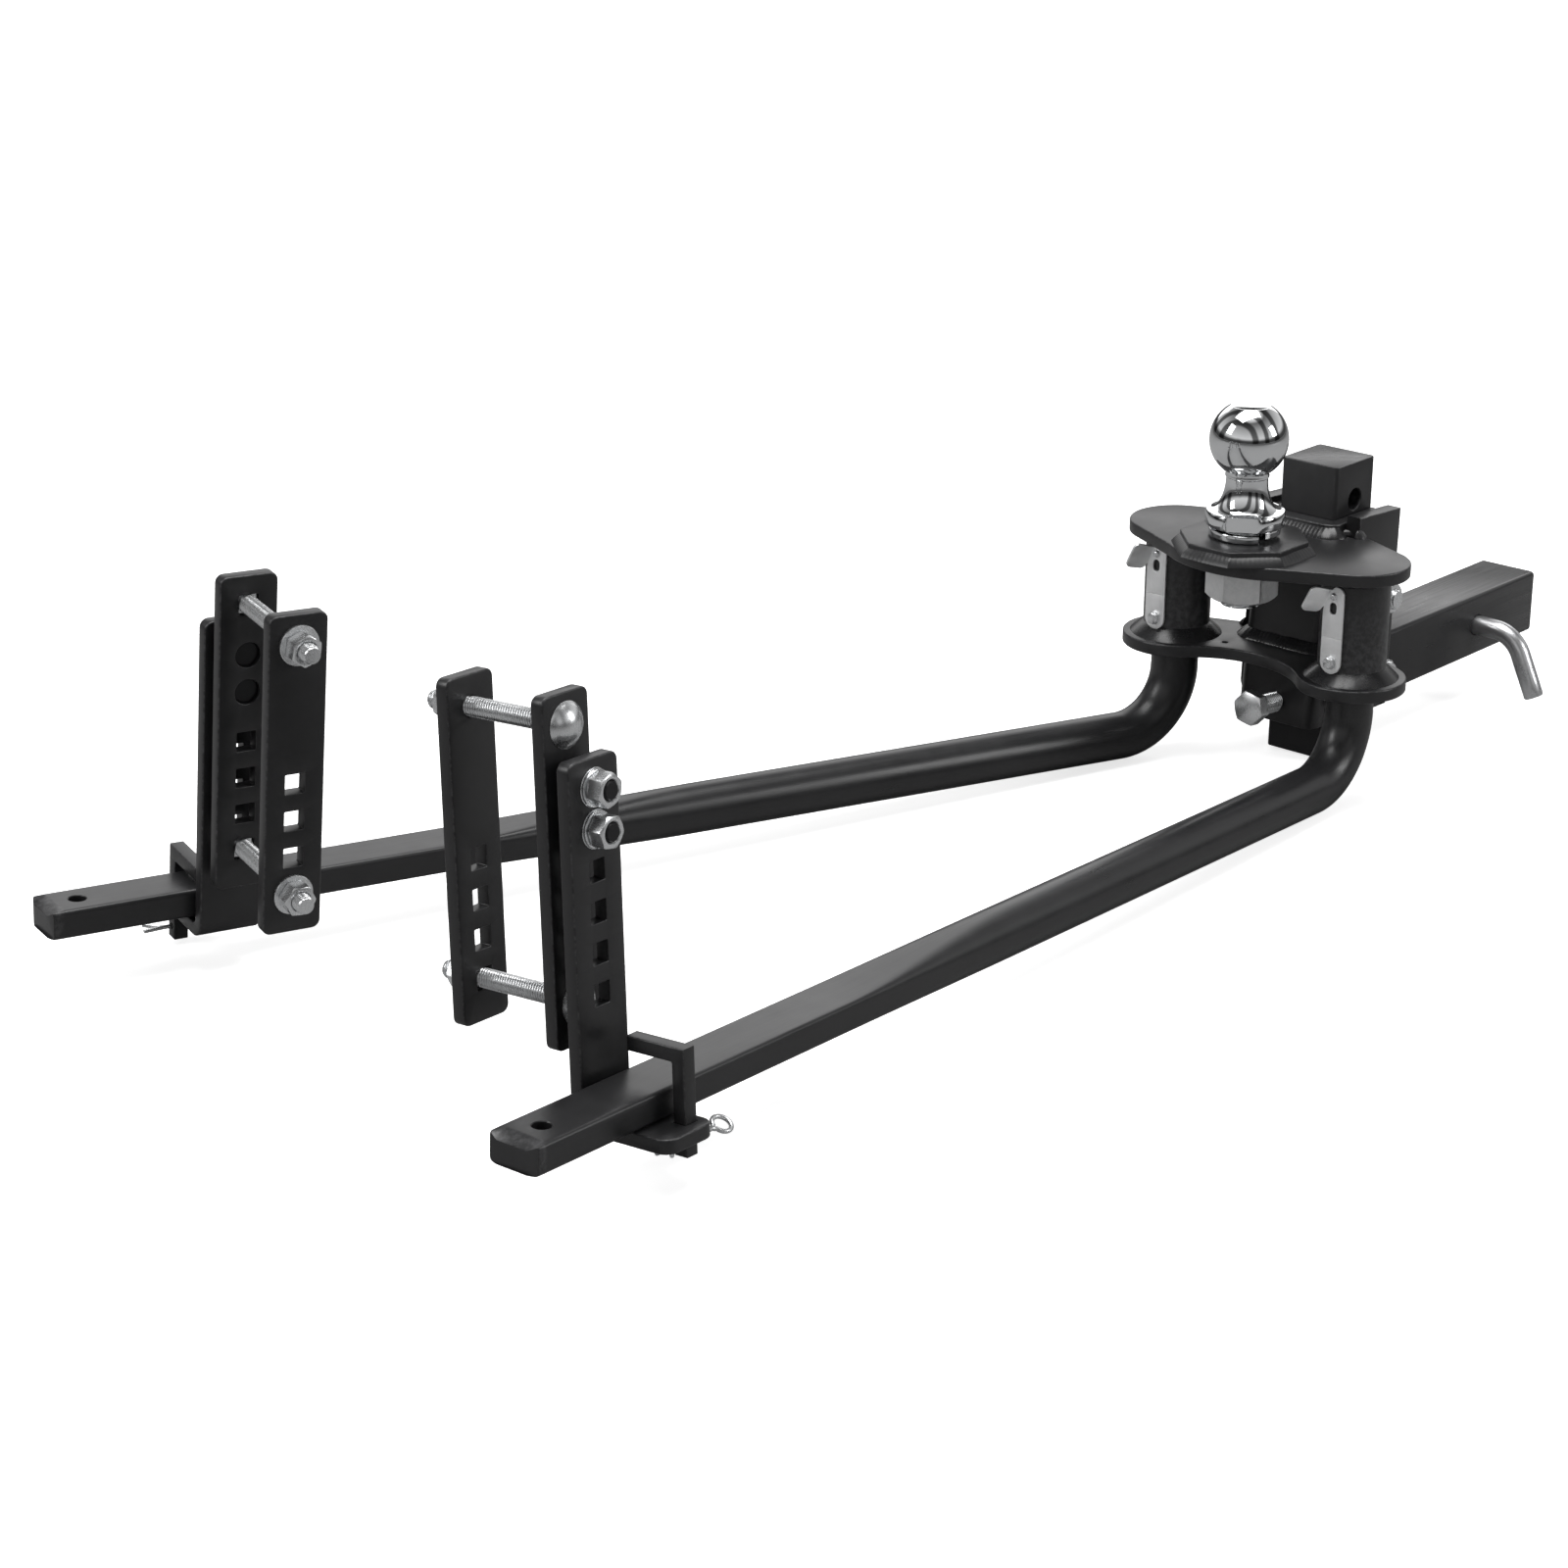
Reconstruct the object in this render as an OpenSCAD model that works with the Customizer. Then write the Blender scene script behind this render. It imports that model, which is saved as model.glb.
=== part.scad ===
// Weight distribution hitch: a ball head on a square shank, two round spring
// bars that hang from sockets in the head, and two frame brackets that ride on
// the flattened bar ends. Millimetres, +Z up, +X towards the tow vehicle,
// +Y to the left. The origin is the centre of the hitch ball.

/* [Ball] */
// diameter of the hitch ball
ball_d = 58.74; // [50.8:0.01:58.74]
// width across flats of the nut under the ball
ball_nut_af = 47.6; // [44:0.1:48]

/* [Head] */
// distance of the bar sockets ahead of the ball axis
socket_x = 32; // [31:0.5:33]
// half the distance between the two sockets
socket_y = 80; // [79:0.5:82]
// outside diameter of each socket tube
socket_od = 51.3; // [50.8:0.1:52]
// lean of the sleeve's rear wall
sleeve_tilt = 5.6; // [5.2:0.1:5.8]

/* [Shank] */
// width of the square shank and of the square vertical bar
bar_w = 50.8; // [50.6:0.1:50.8]
// distance from the ball axis to the vertical bar's axis
bar_x = 109; // [109:0.5:111]
// distance from the ball axis to the front end of the shank
shank_end_x = 390.5; // [380:0.5:410]
// diameter of the hitch pin
pin_d = 15.88; // [15.8:0.01:15.9]

/* [Spring bars] */
// diameter of the round part of each spring bar
rod_d = 36.5; // [36:0.1:36.6]
// length of a spring bar from its socket axis to its flat end
rod_len = 928; // [920:1:950]
// upward slope of each bar towards its rear end
rod_rise = 2; // [1:0.5:3]
// outward angle of the right bar
right_splay = 2.7; // [2:0.1:6]
// outward angle of the left bar
left_splay = 17.2; // [14:0.1:20]

/* [Brackets] */
// distance of the right bracket from its socket axis
right_at = 818; // [800:1:840]
// distance of the left bracket from its socket axis
left_at = 806; // [790:1:830]
// inward lean of both brackets
lean = 4; // [3:0.5:4]
// gap for the trailer frame between the link plate and the clamp plate
frame_gap = 66; // [60:1:72]
// height of the right keeper above its dropped position
right_lift = 13; // [0:1:13]
// height of the left keeper above its dropped position
left_lift = 0; // [0:1:13]

/* [Hidden] */
$fn = 48;
eps = 0.01;
half_w = bar_w / 2;
black = [0.07, 0.07, 0.075];
zinc = [0.78, 0.78, 0.8];
chromed = [0.85, 0.86, 0.88];
steel = [0.55, 0.56, 0.58];

// ball, washer, pad and plates, heights below the ball centre
neck_d = 31;
flange_d = 59.3;
flange_flats = 53;
flange_top = -53.5;
flange_bot = -64.5;
pad_top = -74;
plate_top = -84;
plate_t = 10;
plate_bot = plate_top - plate_t;
ball_shank_d = 31.75;
ball_shank_end = plate_bot - 33;
ball_nut_h = 28;
low_top = -173;
low_t = 9.5;
low_bot = low_top - low_t;
lobe_top_r = 39;
lobe_low_r = 41;
pad_af = 90;
pad_step_af = 101;
pad_step_h = 4;

// sockets, clips and bar stems
socket_id = 37.3;
stem_top = -97;
stem_d = rod_d - 0.2;
groove_z = -106;
groove_w = 11;
groove_depth = 3;
pin_hole_d = 10;
clip_t = 2;
clip_w = 17.5;
clip_shift = 1.5;
clip_low = -157.3;
clip_fold = -138.3;
clip_top = -104.5;
detent_d = 6;

// sleeve, side plates and cross bolts
sleeve_half = 35.6;
sleeve_wall = 9.5;
sleeve_back = 12.7;
sleeve_inner = sleeve_half - sleeve_wall;
sleeve_r = 10;
sleeve_top = -75;
sleeve_bot = -234;
sleeve_rear = bar_x - 42;
sleeve_len = 64.5;
side_t = 12.7;
side_out = sleeve_half + side_t;
bolt_zs = [-135, -197.5];
free_hole_zs = [-64.4, -99.7];
cross_d = 15.88;
cross_hole_d = 16.7;
cross_af = 23.8;
washer_t = 2.5;
washer_od = 29.5;
tilt_z = -218.6;
set_z = -104;
tilt_hole_d = 16.2;
set_d = 12.7;
set_hole_d = 13;

// vertical bar and shank
vbar_top = -35.1;
vbar_bot = -268;
corner_r = 3.2;
shank_cz = -211.3;
shank_r = 3.5;
pin_x = shank_end_x - 86.5;
pin_hole = 16.7;
weld_r = 6;

// spring bar
run_z = -252.4;
bend_r = 50;
flat_w = 38.5;
flat_up = 10.2;
flat_down = 9.5;
flat_h = flat_up + flat_down;
taper_from = 430;
taper_to = 640;
eye_back = 27;
eye_d = 13;

// bracket, measured from the bar's axis
plate3 = 9.5;
leg_w = 43.5;
link_w = 40;
foot_top = -(flat_down * cos(lean) + flat_w / 2 * sin(lean) + 0.28);
leg_y = 23;
leg_top = 206;
bend_in = 4;
foot_out = -43;
spacer = 10;
link_y = leg_y + plate3 + spacer;
clamp_y = link_y + plate3 + frame_gap;
stud_zs = [188, 162.6];
top_bolt_z = 222.5;
low_bolt_z = 51.9;
pitch = 25.4;
square_w = 13.6;
link_low = 25;
link_high = 242.5;
bolt_d = 12.5;
nut_af = 19;
nut_h = 11;
keeper_w = 10.5;
keeper_t = 9.5;
keeper_y = -34;
keeper_in = 10;
keeper_top = 23;
keeper_len = 68;
keeper_pin = 59.5;
slot_gap = 0.4;
right_keep_x = 10;
left_keep_x = -11;
wire_d = 3.8;

function splay(side) = side < 0 ? right_splay : left_splay;
function place(side) = side < 0 ? right_at : left_at;
function lift(side) = side < 0 ? right_lift : left_lift;
function keep_x(side) = side < 0 ? right_keep_x : left_keep_x;
function wall_x(z) = sleeve_rear - (sleeve_top - z) * tan(sleeve_tilt);
function arc(cx, cy, r, a0, a1, n) =
  [for (i = [0 : n]) [cx + r * cos(a0 + (a1 - a0) * i / n), cy + r * sin(a0 + (a1 - a0) * i / n)]];
function fill_z() = run_z + bend_r * (1 + sin(rod_rise)) / cos(rod_rise);

// ---------- shared shapes ----------

module box(a, b) {
  translate(a) cube(b - a);
}

module y_rod(x, z, d, y0, y1) {
  translate([x, y0, z]) rotate([-90, 0, 0]) cylinder(d = d, h = y1 - y0);
}

module y_hex(x, z, af, y0, y1) {
  translate([x, y0, z]) rotate([-90, 0, 0]) cylinder(d = af / cos(30), h = y1 - y0, $fn = 6);
}

module y_ring(x, z, od, id, y0, y1) {
  difference() {
    y_rod(x, z, od, y0, y1);
    y_rod(x, z, id, y0 - 1, y1 + 1);
  }
}

// square bar with round edges, along +Z from the origin
module square_rod(w, r, h) {
  box([-w / 2, -w / 2 + r, 0], [w / 2, w / 2 - r, h]);
  box([-w / 2 + r, -w / 2, 0], [w / 2 - r, w / 2, h]);
  for (sx = [-1, 1], sy = [-1, 1])
    translate([sx * (w / 2 - r), sy * (w / 2 - r), 0]) cylinder(r = r, h = h);
}

// flat strap standing in the XZ plane, round corners
module strap(x0, x1, y0, y1, z0, z1, r) {
  box([x0 + r, y0, z0], [x1 - r, y1, z1]);
  box([x0, y0, z0 + r], [x1, y1, z1 - r]);
  for (x = [x0 + r, x1 - r], z = [z0 + r, z1 - r]) y_rod(x, z, 2 * r, y0, y1);
}

module bar_frame(side) {
  translate([socket_x, side * socket_y, run_z])
    rotate([0, 0, -side * splay(side)])
      rotate([0, rod_rise, 0])
        children();
}

// frame of a bracket: +X forward, +Y inboard, origin on the bar's axis
module bracket_frame(side) {
  bar_frame(side)
    mirror([0, side > 0 ? 1 : 0, 0])
      translate([-place(side), 0, 0])
        rotate([-lean, 0, 0])
          children();
}

// ---------- shank ----------

module vertical_bar() {
  color(black)
  difference() {
    translate([bar_x, 0, vbar_bot]) square_rod(bar_w, corner_r, vbar_top - vbar_bot);
    for (z = concat(free_hole_zs, bolt_zs)) y_rod(bar_x, z, cross_hole_d, -half_w - 1, half_w + 1);
  }
}

module receiver_shank() {
  color(black)
  difference() {
    translate([bar_x + half_w, 0, shank_cz]) rotate([0, 90, 0])
      square_rod(bar_w, shank_r, shank_end_x - bar_x - half_w);
    y_rod(pin_x, shank_cz, pin_hole, -half_w - 1, half_w + 1);
  }
}

module shank_weld() {
  front = bar_x + half_w;
  color(black)
  difference() {
    union() {
      for (s = [-1, 1]) translate([front, -half_w + shank_r, shank_cz + s * half_w])
        rotate([-90, 0, 0]) cylinder(r = weld_r, h = bar_w - 2 * shank_r);
    }
    box([bar_x, -bar_w, vbar_bot], [front, bar_w, vbar_top]);
    box([bar_x, -bar_w, shank_cz - half_w], [front + 40, bar_w, shank_cz + half_w]);
  }
}

// ---------- head ----------

module sleeve_blank(half, r, x0, reach) {
  n = 6;
  outline = concat([[reach, half]], arc(x0 + r, half - r, r, 90, 180, n),
                   arc(x0 + r, r - half, r, 180, 270, n), [[reach, -half]]);
  translate([sleeve_rear, 0, sleeve_top]) rotate([0, sleeve_tilt, 0]) translate([0, 0, -200])
    linear_extrude(230) polygon(outline);
}

module side_blank(y0, y1) {
  translate([0, y0, 0]) rotate([90, 0, 0]) mirror([0, 0, 1])
    linear_extrude(y1 - y0)
      polygon(concat([[83, -69.5], [139, -73], [135, -229.5]], arc(88.5, -216.5, 12, 270, 183, 6)));
}

module sleeve_outer() {
  intersection() {
    sleeve_blank(sleeve_half, sleeve_r, 0, sleeve_len);
    box([0, -100, sleeve_bot], [200, 100, sleeve_top]);
  }
}

module head_sleeve() {
  color(black)
  difference() {
    sleeve_outer();
    sleeve_blank(sleeve_inner, 3, sleeve_back, sleeve_len + 20);
    for (z = bolt_zs) y_rod(bar_x, z, cross_hole_d, -50, 50);
    translate([wall_x(tilt_z), 0, tilt_z]) rotate([0, 90 + sleeve_tilt, 0]) cylinder(d = tilt_hole_d, h = 40, center = true);
    translate([wall_x(set_z), 0, set_z]) rotate([0, 90 + sleeve_tilt, 0]) cylinder(d = set_hole_d, h = 40, center = true);
  }
}

module head_side_plates() {
  color(black)
  difference() {
    union() {
      side_blank(sleeve_half, side_out);
      side_blank(-side_out, -sleeve_half);
    }
    for (z = bolt_zs) y_rod(bar_x, z, cross_hole_d, -60, 60);
  }
}

// half of the top plate's edge, from its front corner round the lobe
function top_edge() = concat([[87, side_out + 2]], arc(socket_x, socket_y, lobe_top_r, 24, 153, 18));

// half of the bottom plate's edge, from its front corner round the lobe
function low_edge() = concat([[86, side_out + 2]], arc(socket_x, socket_y, lobe_low_r, 22, 226, 26));

// a half edge followed by its mirror image, walked backwards
function both_sides(edge, middle) =
  concat(edge, middle, [for (i = [len(edge) - 1 : -1 : 0]) [edge[i][0], -edge[i][1]]]);

module top_outline() {
  polygon(both_sides(top_edge(), arc(44.2, 0, 86.7, 146, 214, 14)));
}

module head_top_plate() {
  color(black)
  difference() {
    translate([0, 0, plate_bot]) linear_extrude(plate_t) top_outline();
    translate([0, 0, plate_bot - 1]) cylinder(d = ball_shank_d + 0.6, h = plate_t + 2);
    sleeve_blank(sleeve_half, sleeve_r, 0, sleeve_len);
    side_blank(-side_out, side_out);
  }
}

module ball_pad() {
  color(black)
  difference() {
    union() {
      translate([0, 0, plate_top]) rotate(22.5) cylinder(d = pad_af / cos(22.5), h = pad_top - plate_top, $fn = 8);
      translate([0, 0, plate_top]) rotate(22.5) cylinder(d = pad_step_af / cos(22.5), h = pad_step_h, $fn = 8);
    }
    translate([0, 0, plate_top - 1]) cylinder(d = ball_shank_d + 0.6, h = 20);
  }
}

module low_outline() {
  polygon(both_sides(low_edge(), arc(-45.1, 0, 70.1, 44, -44, 14)));
}

module head_bottom_plate() {
  color(black)
  difference() {
    translate([0, 0, low_bot]) linear_extrude(low_t) low_outline();
    for (s = [-1, 1]) translate([socket_x, s * socket_y, low_bot - 1]) cylinder(d = socket_od, h = low_t + 2);
    translate([socket_x, 34, low_bot - 1]) cylinder(d = 5, h = low_t + 2);
    sleeve_blank(sleeve_half, sleeve_r, 0, sleeve_len);
    side_blank(-side_out, side_out);
  }
}

module socket(side) {
  color(black)
  difference() {
    translate([socket_x, side * socket_y, low_bot]) cylinder(d = socket_od, h = plate_bot - low_bot);
    translate([socket_x, side * socket_y, low_bot - 1]) cylinder(d = socket_id, h = plate_bot - low_bot + 2);
    translate([-20, side * socket_y + clip_shift, groove_z]) rotate([0, 90, 0]) cylinder(d = pin_hole_d, h = 50);
  }
}

module right_socket() {
  socket(-1);
}

module left_socket() {
  socket(1);
}

module head_socket_welds() {
  color(black)
  for (s = [-1, 1]) translate([socket_x, s * socket_y, 0]) rotate_extrude() {
    polygon([[socket_od / 2, plate_bot], [socket_od / 2 + 5, plate_bot], [socket_od / 2, plate_bot - 4.5]]);
    polygon([[socket_od / 2, low_top], [socket_od / 2 + 7.5, low_top], [socket_od / 2, low_top + 6]]);
  }
}

module head_sleeve_welds() {
  reach = 44;
  run = 12;
  color(black)
  difference() {
    for (z = [plate_top, low_top]) {
      translate([wall_x(z), -reach / 2, z]) rotate([-90, 0, 0]) cylinder(r = weld_r, h = reach);
      for (s = [-1, 1]) translate([76, s * side_out, z]) rotate([0, 90, 0]) cylinder(r = weld_r, h = run);
    }
    sleeve_blank(sleeve_half, sleeve_r, 0, sleeve_len);
    box([74, -side_out, -200], [120, side_out, -60]);
    box([-60, -130, plate_bot - 1], [140, 130, plate_top]);
    box([-60, -130, low_bot - 1], [140, 130, low_top]);
  }
}

// ---------- ball ----------

module hitch_ball() {
  r = ball_d / 2;
  flat_z = sqrt(r * r - 14.5 * 14.5);
  neck_z = -sqrt(r * r - neck_d * neck_d / 4);
  flare_r = 27;
  flare_h = 24;
  flare_w = flare_r - neck_d / 2;
  color(chromed)
  difference() {
    union() {
      intersection() {
        sphere(d = ball_d);
        box([-r, -r, neck_z - 1], [r, r, flat_z]);
      }
      translate([0, 0, flange_bot]) cylinder(d = neck_d, h = neck_z - flange_bot + 1);
      translate([0, 0, flange_top]) rotate_extrude() polygon(concat([[0, -1], [flare_r, -1]],
        [for (a = [90 : -9 : 0]) [flare_r - flare_w * cos(a), flare_h - flare_h * sin(a)]],
        [[0, flare_h]]));
      intersection() {
        translate([0, 0, flange_bot]) cylinder(d = flange_d, h = flange_top - flange_bot);
        rotate(30) box([-flange_flats / 2, -40, flange_bot], [flange_flats / 2, 40, flange_top]);
      }
      translate([0, 0, ball_shank_end]) cylinder(d = ball_shank_d, h = flange_bot - ball_shank_end + 1);
    }
  }
}

module ball_lock_washer() {
  color(chromed)
  translate([0, 0, pad_top]) rotate(-112)
    rotate_extrude(angle = 350)
      translate([ball_shank_d / 2 + 0.5, 0]) square([10.2, flange_bot - pad_top]);
}

module ball_nut() {
  color(zinc)
  difference() {
    translate([0, 0, plate_bot - ball_nut_h]) cylinder(d = ball_nut_af / cos(30), h = ball_nut_h, $fn = 6);
    translate([0, 0, plate_bot - ball_nut_h - 1]) cylinder(d = ball_shank_d + 0.1, h = ball_nut_h + 2);
  }
}

// ---------- bolts on the head ----------

module wall_screw(z, d, back, ahead) {
  translate([wall_x(z), 0, z]) rotate([0, 90 + sleeve_tilt, 0]) translate([0, 0, -back]) cylinder(d = d, h = back + ahead);
}

module tilt_bolt() {
  color(zinc) {
    wall_screw(tilt_z, cross_d, 26.5, 27.5);
    translate([wall_x(tilt_z), 0, tilt_z]) rotate([0, 90 + sleeve_tilt, 0]) translate([0, 0, -36.5]) rotate(30)
      cylinder(d = cross_af / cos(30), h = 10.2, $fn = 6);
  }
}

module head_set_screw() {
  color(zinc) wall_screw(set_z, set_d, 25.5, 18);
}

module cross_bolts() {
  color(zinc)
  for (z = bolt_zs) {
    y_rod(bar_x, z, cross_d, -side_out - washer_t - 18.5, side_out + washer_t + 1);
    y_hex(bar_x, z, cross_af, side_out + washer_t, side_out + washer_t + 10);
  }
}

module cross_washers() {
  color(zinc)
  for (z = bolt_zs) {
    y_ring(bar_x, z, washer_od, cross_d + 0.4, side_out, side_out + washer_t);
    y_ring(bar_x, z, washer_od, cross_d + 0.4, -side_out - washer_t, -side_out);
  }
}

module cross_nuts() {
  color(zinc)
  for (z = bolt_zs) difference() {
    y_hex(bar_x, z, cross_af, -side_out - washer_t - 15.5, -side_out - washer_t);
    y_rod(bar_x, z, cross_d + 0.1, -90, -40);
  }
}

// ---------- hitch pin ----------

module hitch_pin() {
  out = half_w + 16.6;
  turn = 65;
  r = 28;
  tail = 36;
  color(steel)
  difference() {
    translate([pin_x, 0, shank_cz]) {
      y_rod(0, 0, pin_d, -out, half_w + 46);
      translate([0, -out, -r]) rotate([0, -90, 180]) rotate_extrude(angle = turn) translate([r, 0]) circle(d = pin_d);
      translate([0, -out - r * sin(turn), -r + r * cos(turn)]) rotate([90 + turn, 0, 0]) translate([0, 0, -1])
        cylinder(d = pin_d - 0.12, h = tail + 1);
    }
    translate([pin_x, half_w + 39, shank_cz - 20]) cylinder(d = 4.4, h = 40);
  }
}

module hitch_pin_clip() {
  y = half_w + 39;
  color(zinc)
  translate([pin_x, y, shank_cz]) {
    translate([0, 0, -34]) cylinder(d = wire_d, h = 50);
    translate([0, 5.6, -34]) rotate([0, -90, 0]) rotate([0, 0, 90]) rotate_extrude(angle = 180) translate([5.6, 0]) circle(d = wire_d);
    translate([0, 11.2, -34]) cylinder(d = wire_d, h = 24);
    translate([0, 11.2, -10]) sphere(d = wire_d);
  }
}

// ---------- retaining clips ----------

module clip_place(side) {
  translate([socket_x - socket_od / 2 - clip_t, side * socket_y + clip_shift, 0]) children();
}

module clip_root(side) {
  color(zinc) clip_place(side) difference() {
    union() {
      box([0, -clip_w / 2, clip_low], [clip_t, clip_w / 2, clip_fold]);
      translate([0, 0, clip_low]) rotate([0, 90, 0]) cylinder(d = clip_w, h = clip_t);
    }
    translate([-1, 0, clip_low]) rotate([0, 90, 0]) cylinder(d = 5.4, h = 5);
  }
}

module clip_leaf(side) {
  color(zinc) clip_place(side) difference() {
    union() {
      box([0, -clip_w / 2, clip_fold], [clip_t, clip_w / 2, clip_top]);
      translate([0, 6 - clip_w / 2, clip_top]) rotate([0, 90, 0]) cylinder(r = 6, h = clip_t);
      box([0, 6 - clip_w / 2, clip_top], [clip_t, 3, clip_top + 6]);
      translate([0, clip_w / 2 - 0.8, clip_top - 11]) rotate([25, 0, 0]) rotate([0, 0, 62]) cube([clip_t, 17, 15]);
    }
    translate([-1, 0, clip_fold + 18]) rotate([0, 90, 0]) cylinder(d = 4.5, h = 5);
    box([-1, -2.25, clip_fold + 18], [4, 2.25, clip_fold + 25]);
    translate([-1, 0, groove_z]) rotate([0, 90, 0]) cylinder(d = detent_d - 2 + eps, h = 5);
  }
}

module detent_pin(side) {
  color(zinc) clip_place(side) translate([0, 0, groove_z]) rotate([0, 90, 0]) {
    translate([0, 0, clip_t]) cylinder(d = detent_d, h = 9.5);
    translate([0, 0, -1.5]) cylinder(d = 4, h = 5);
    translate([0, 0, -2.5]) cylinder(d = detent_d, h = 2.5);
  }
}

module clip_screw(side) {
  color(zinc) clip_place(side) translate([0, 0, clip_low]) rotate([0, 90, 0]) {
    translate([0, 0, -3.5]) cylinder(d = 8 / cos(30), h = 3.5, $fn = 6);
    translate([0, 0, -1]) cylinder(d = 4.8, h = clip_t + 1);
  }
}

module right_clip_root() {
  clip_root(-1);
}

module left_clip_root() {
  clip_root(1);
}

module right_clip_leaf() {
  clip_leaf(-1);
}

module left_clip_leaf() {
  clip_leaf(1);
}

module right_detent_pin() {
  detent_pin(-1);
}

module left_detent_pin() {
  detent_pin(1);
}

module right_clip_screw() {
  clip_screw(-1);
}

module left_clip_screw() {
  clip_screw(1);
}

// ---------- spring bars ----------

module bar_stem(side) {
  neck_low = groove_z - groove_w / 2;
  neck_high = groove_z + groove_w / 2;
  translate([socket_x, side * socket_y, 0]) {
    translate([0, 0, fill_z() - 1]) cylinder(d = stem_d, h = neck_low - fill_z() + 1);
    translate([0, 0, neck_low - 1]) cylinder(d = stem_d - 2 * groove_depth, h = groove_w + 2);
    translate([0, 0, neck_high]) cylinder(d = stem_d, h = stem_top - neck_high);
  }
}

module bar_run() {
  from = fill_z() - run_z;
  translate([-from, 0, bend_r]) rotate([90, 90, 0]) rotate_extrude(angle = 90 + rod_rise)
    translate([bend_r, 0]) circle(d = rod_d);
  translate([-from, 0, 0]) rotate([0, -90, 0]) cylinder(d = rod_d, h = taper_from - from);
  hull() {
    translate([-taper_from, 0, 0]) rotate([0, 90, 0]) cylinder(d = rod_d - 0.3, h = 1, $fn = 32);
    box([-taper_to - 1, 0.1 - flat_w / 2, 0.1 - flat_down], [-taper_to, flat_w / 2 - 0.1, flat_up - 0.1]);
  }
  difference() {
    box([-rod_len, -flat_w / 2, -flat_down], [-taper_to, flat_w / 2, flat_up]);
    translate([-rod_len + eye_back, 0, -20]) cylinder(d = eye_d, h = 40);
    for (s = [-1, 1]) translate([-rod_len, s * flat_w / 2, -20]) rotate(45) cube([7, 7, 80], center = true);
    translate([-rod_len - 4, -40, -flat_down - 6]) rotate([0, 30, 0]) cube([9, 80, 12]);
  }
}

module spring_bar(side) {
  color(black) {
    bar_stem(side);
    bar_frame(side) bar_run();
  }
}

module right_spring_bar() {
  spring_bar(-1);
}

module left_spring_bar() {
  spring_bar(1);
}

// ---------- frame brackets ----------

module square_hole(z, y0, y1) {
  box([-square_w / 2, y0 - 1, z - square_w / 2], [square_w / 2, y1 + 1, z + square_w / 2]);
}

module l_bracket(side) {
  y1 = leg_y + plate3;
  zc = foot_top + bend_in;
  kx = keep_x(side);
  color(black)
  bracket_frame(side) difference() {
    union() {
      strap(-leg_w / 2, leg_w / 2, leg_y, y1, zc + 8, leg_top, 7);
      box([-leg_w / 2, leg_y, zc], [leg_w / 2, y1, zc + 20]);
      translate([-leg_w / 2, leg_y - bend_in, zc]) rotate([0, 90, 0]) rotate_extrude(angle = 90)
        translate([bend_in, 0]) square([plate3, leg_w]);
      box([-leg_w / 2, foot_out + 9, foot_top - plate3], [leg_w / 2, leg_y - bend_in, foot_top]);
      box([-leg_w / 2 + 9, foot_out, foot_top - plate3], [leg_w / 2 - 9, foot_out + 9, foot_top]);
      for (s = [-1, 1]) translate([s * (leg_w / 2 - 9), foot_out + 9, foot_top - plate3]) cylinder(r = 9, h = plate3);
    }
    for (z = stud_zs) y_rod(0, z, 14, 0, 60);
    for (i = [2 : 5]) square_hole(stud_zs[0] - i * pitch, leg_y, y1);
    box([kx - keeper_w / 2 - slot_gap, keeper_y - slot_gap, foot_top - 20],
        [kx + keeper_w / 2 + slot_gap, keeper_y + keeper_t + slot_gap, foot_top + 5]);
  }
}

module link_plate(side) {
  color(black)
  bracket_frame(side) difference() {
    strap(-link_w / 2, link_w / 2, link_y, link_y + plate3, link_low, link_high, 6);
    for (z = stud_zs) y_rod(0, z, 17.5, link_y - 1, link_y + 20);
    square_hole(top_bolt_z, link_y, link_y + plate3);
    for (i = [0 : 3]) square_hole(low_bolt_z + i * pitch, link_y, link_y + plate3);
  }
}

module clamp_plate(side) {
  color(black)
  bracket_frame(side) difference() {
    strap(-link_w / 2, link_w / 2, clamp_y, clamp_y + plate3, link_low, link_high, 6);
    y_rod(0, top_bolt_z, 13.6, clamp_y - 1, clamp_y + 20);
    for (i = [0 : 3]) square_hole(low_bolt_z + i * pitch, clamp_y, clamp_y + plate3);
  }
}

module bracket_studs(side) {
  color(black)
  bracket_frame(side) for (z = stud_zs) {
    y_rod(0, z, bolt_d, leg_y - 14.2, leg_y + plate3 + 1);
    y_rod(0, z, 20, leg_y + plate3, link_y);
    y_rod(0, z, 17.3, link_y - 1, link_y + 6.5);
  }
}

module stud_washers(side) {
  color(zinc)
  bracket_frame(side) for (z = stud_zs) y_ring(0, z, 24, bolt_d + 0.6, leg_y - washer_t, leg_y);
}

module stud_nuts(side) {
  color(zinc)
  bracket_frame(side) for (z = stud_zs) difference() {
    y_hex(0, z, nut_af, leg_y - washer_t - nut_h, leg_y - washer_t);
    y_rod(0, z, bolt_d + 0.1, -10, 40);
  }
}

module carriage_bolts(side) {
  cap_r = 17.8;
  cap_h = 7.5;
  color(zinc)
  bracket_frame(side) for (z = [top_bolt_z, low_bolt_z]) {
    intersection() {
      translate([0, link_y + cap_r - cap_h, z]) sphere(r = cap_r);
      box([-20, link_y - cap_h - 1, z - 20], [20, link_y, z + 20]);
    }
    box([-6.3, link_y - 1, z - 6.3], [6.3, link_y + 7, z + 6.3]);
    y_rod(0, z, bolt_d, link_y, clamp_y + plate3 + 21.5);
  }
}

module carriage_washers(side) {
  y = clamp_y + plate3;
  color(zinc)
  bracket_frame(side) for (z = [top_bolt_z, low_bolt_z]) y_ring(0, z, 27, bolt_d + 0.6, y, y + washer_t);
}

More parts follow.
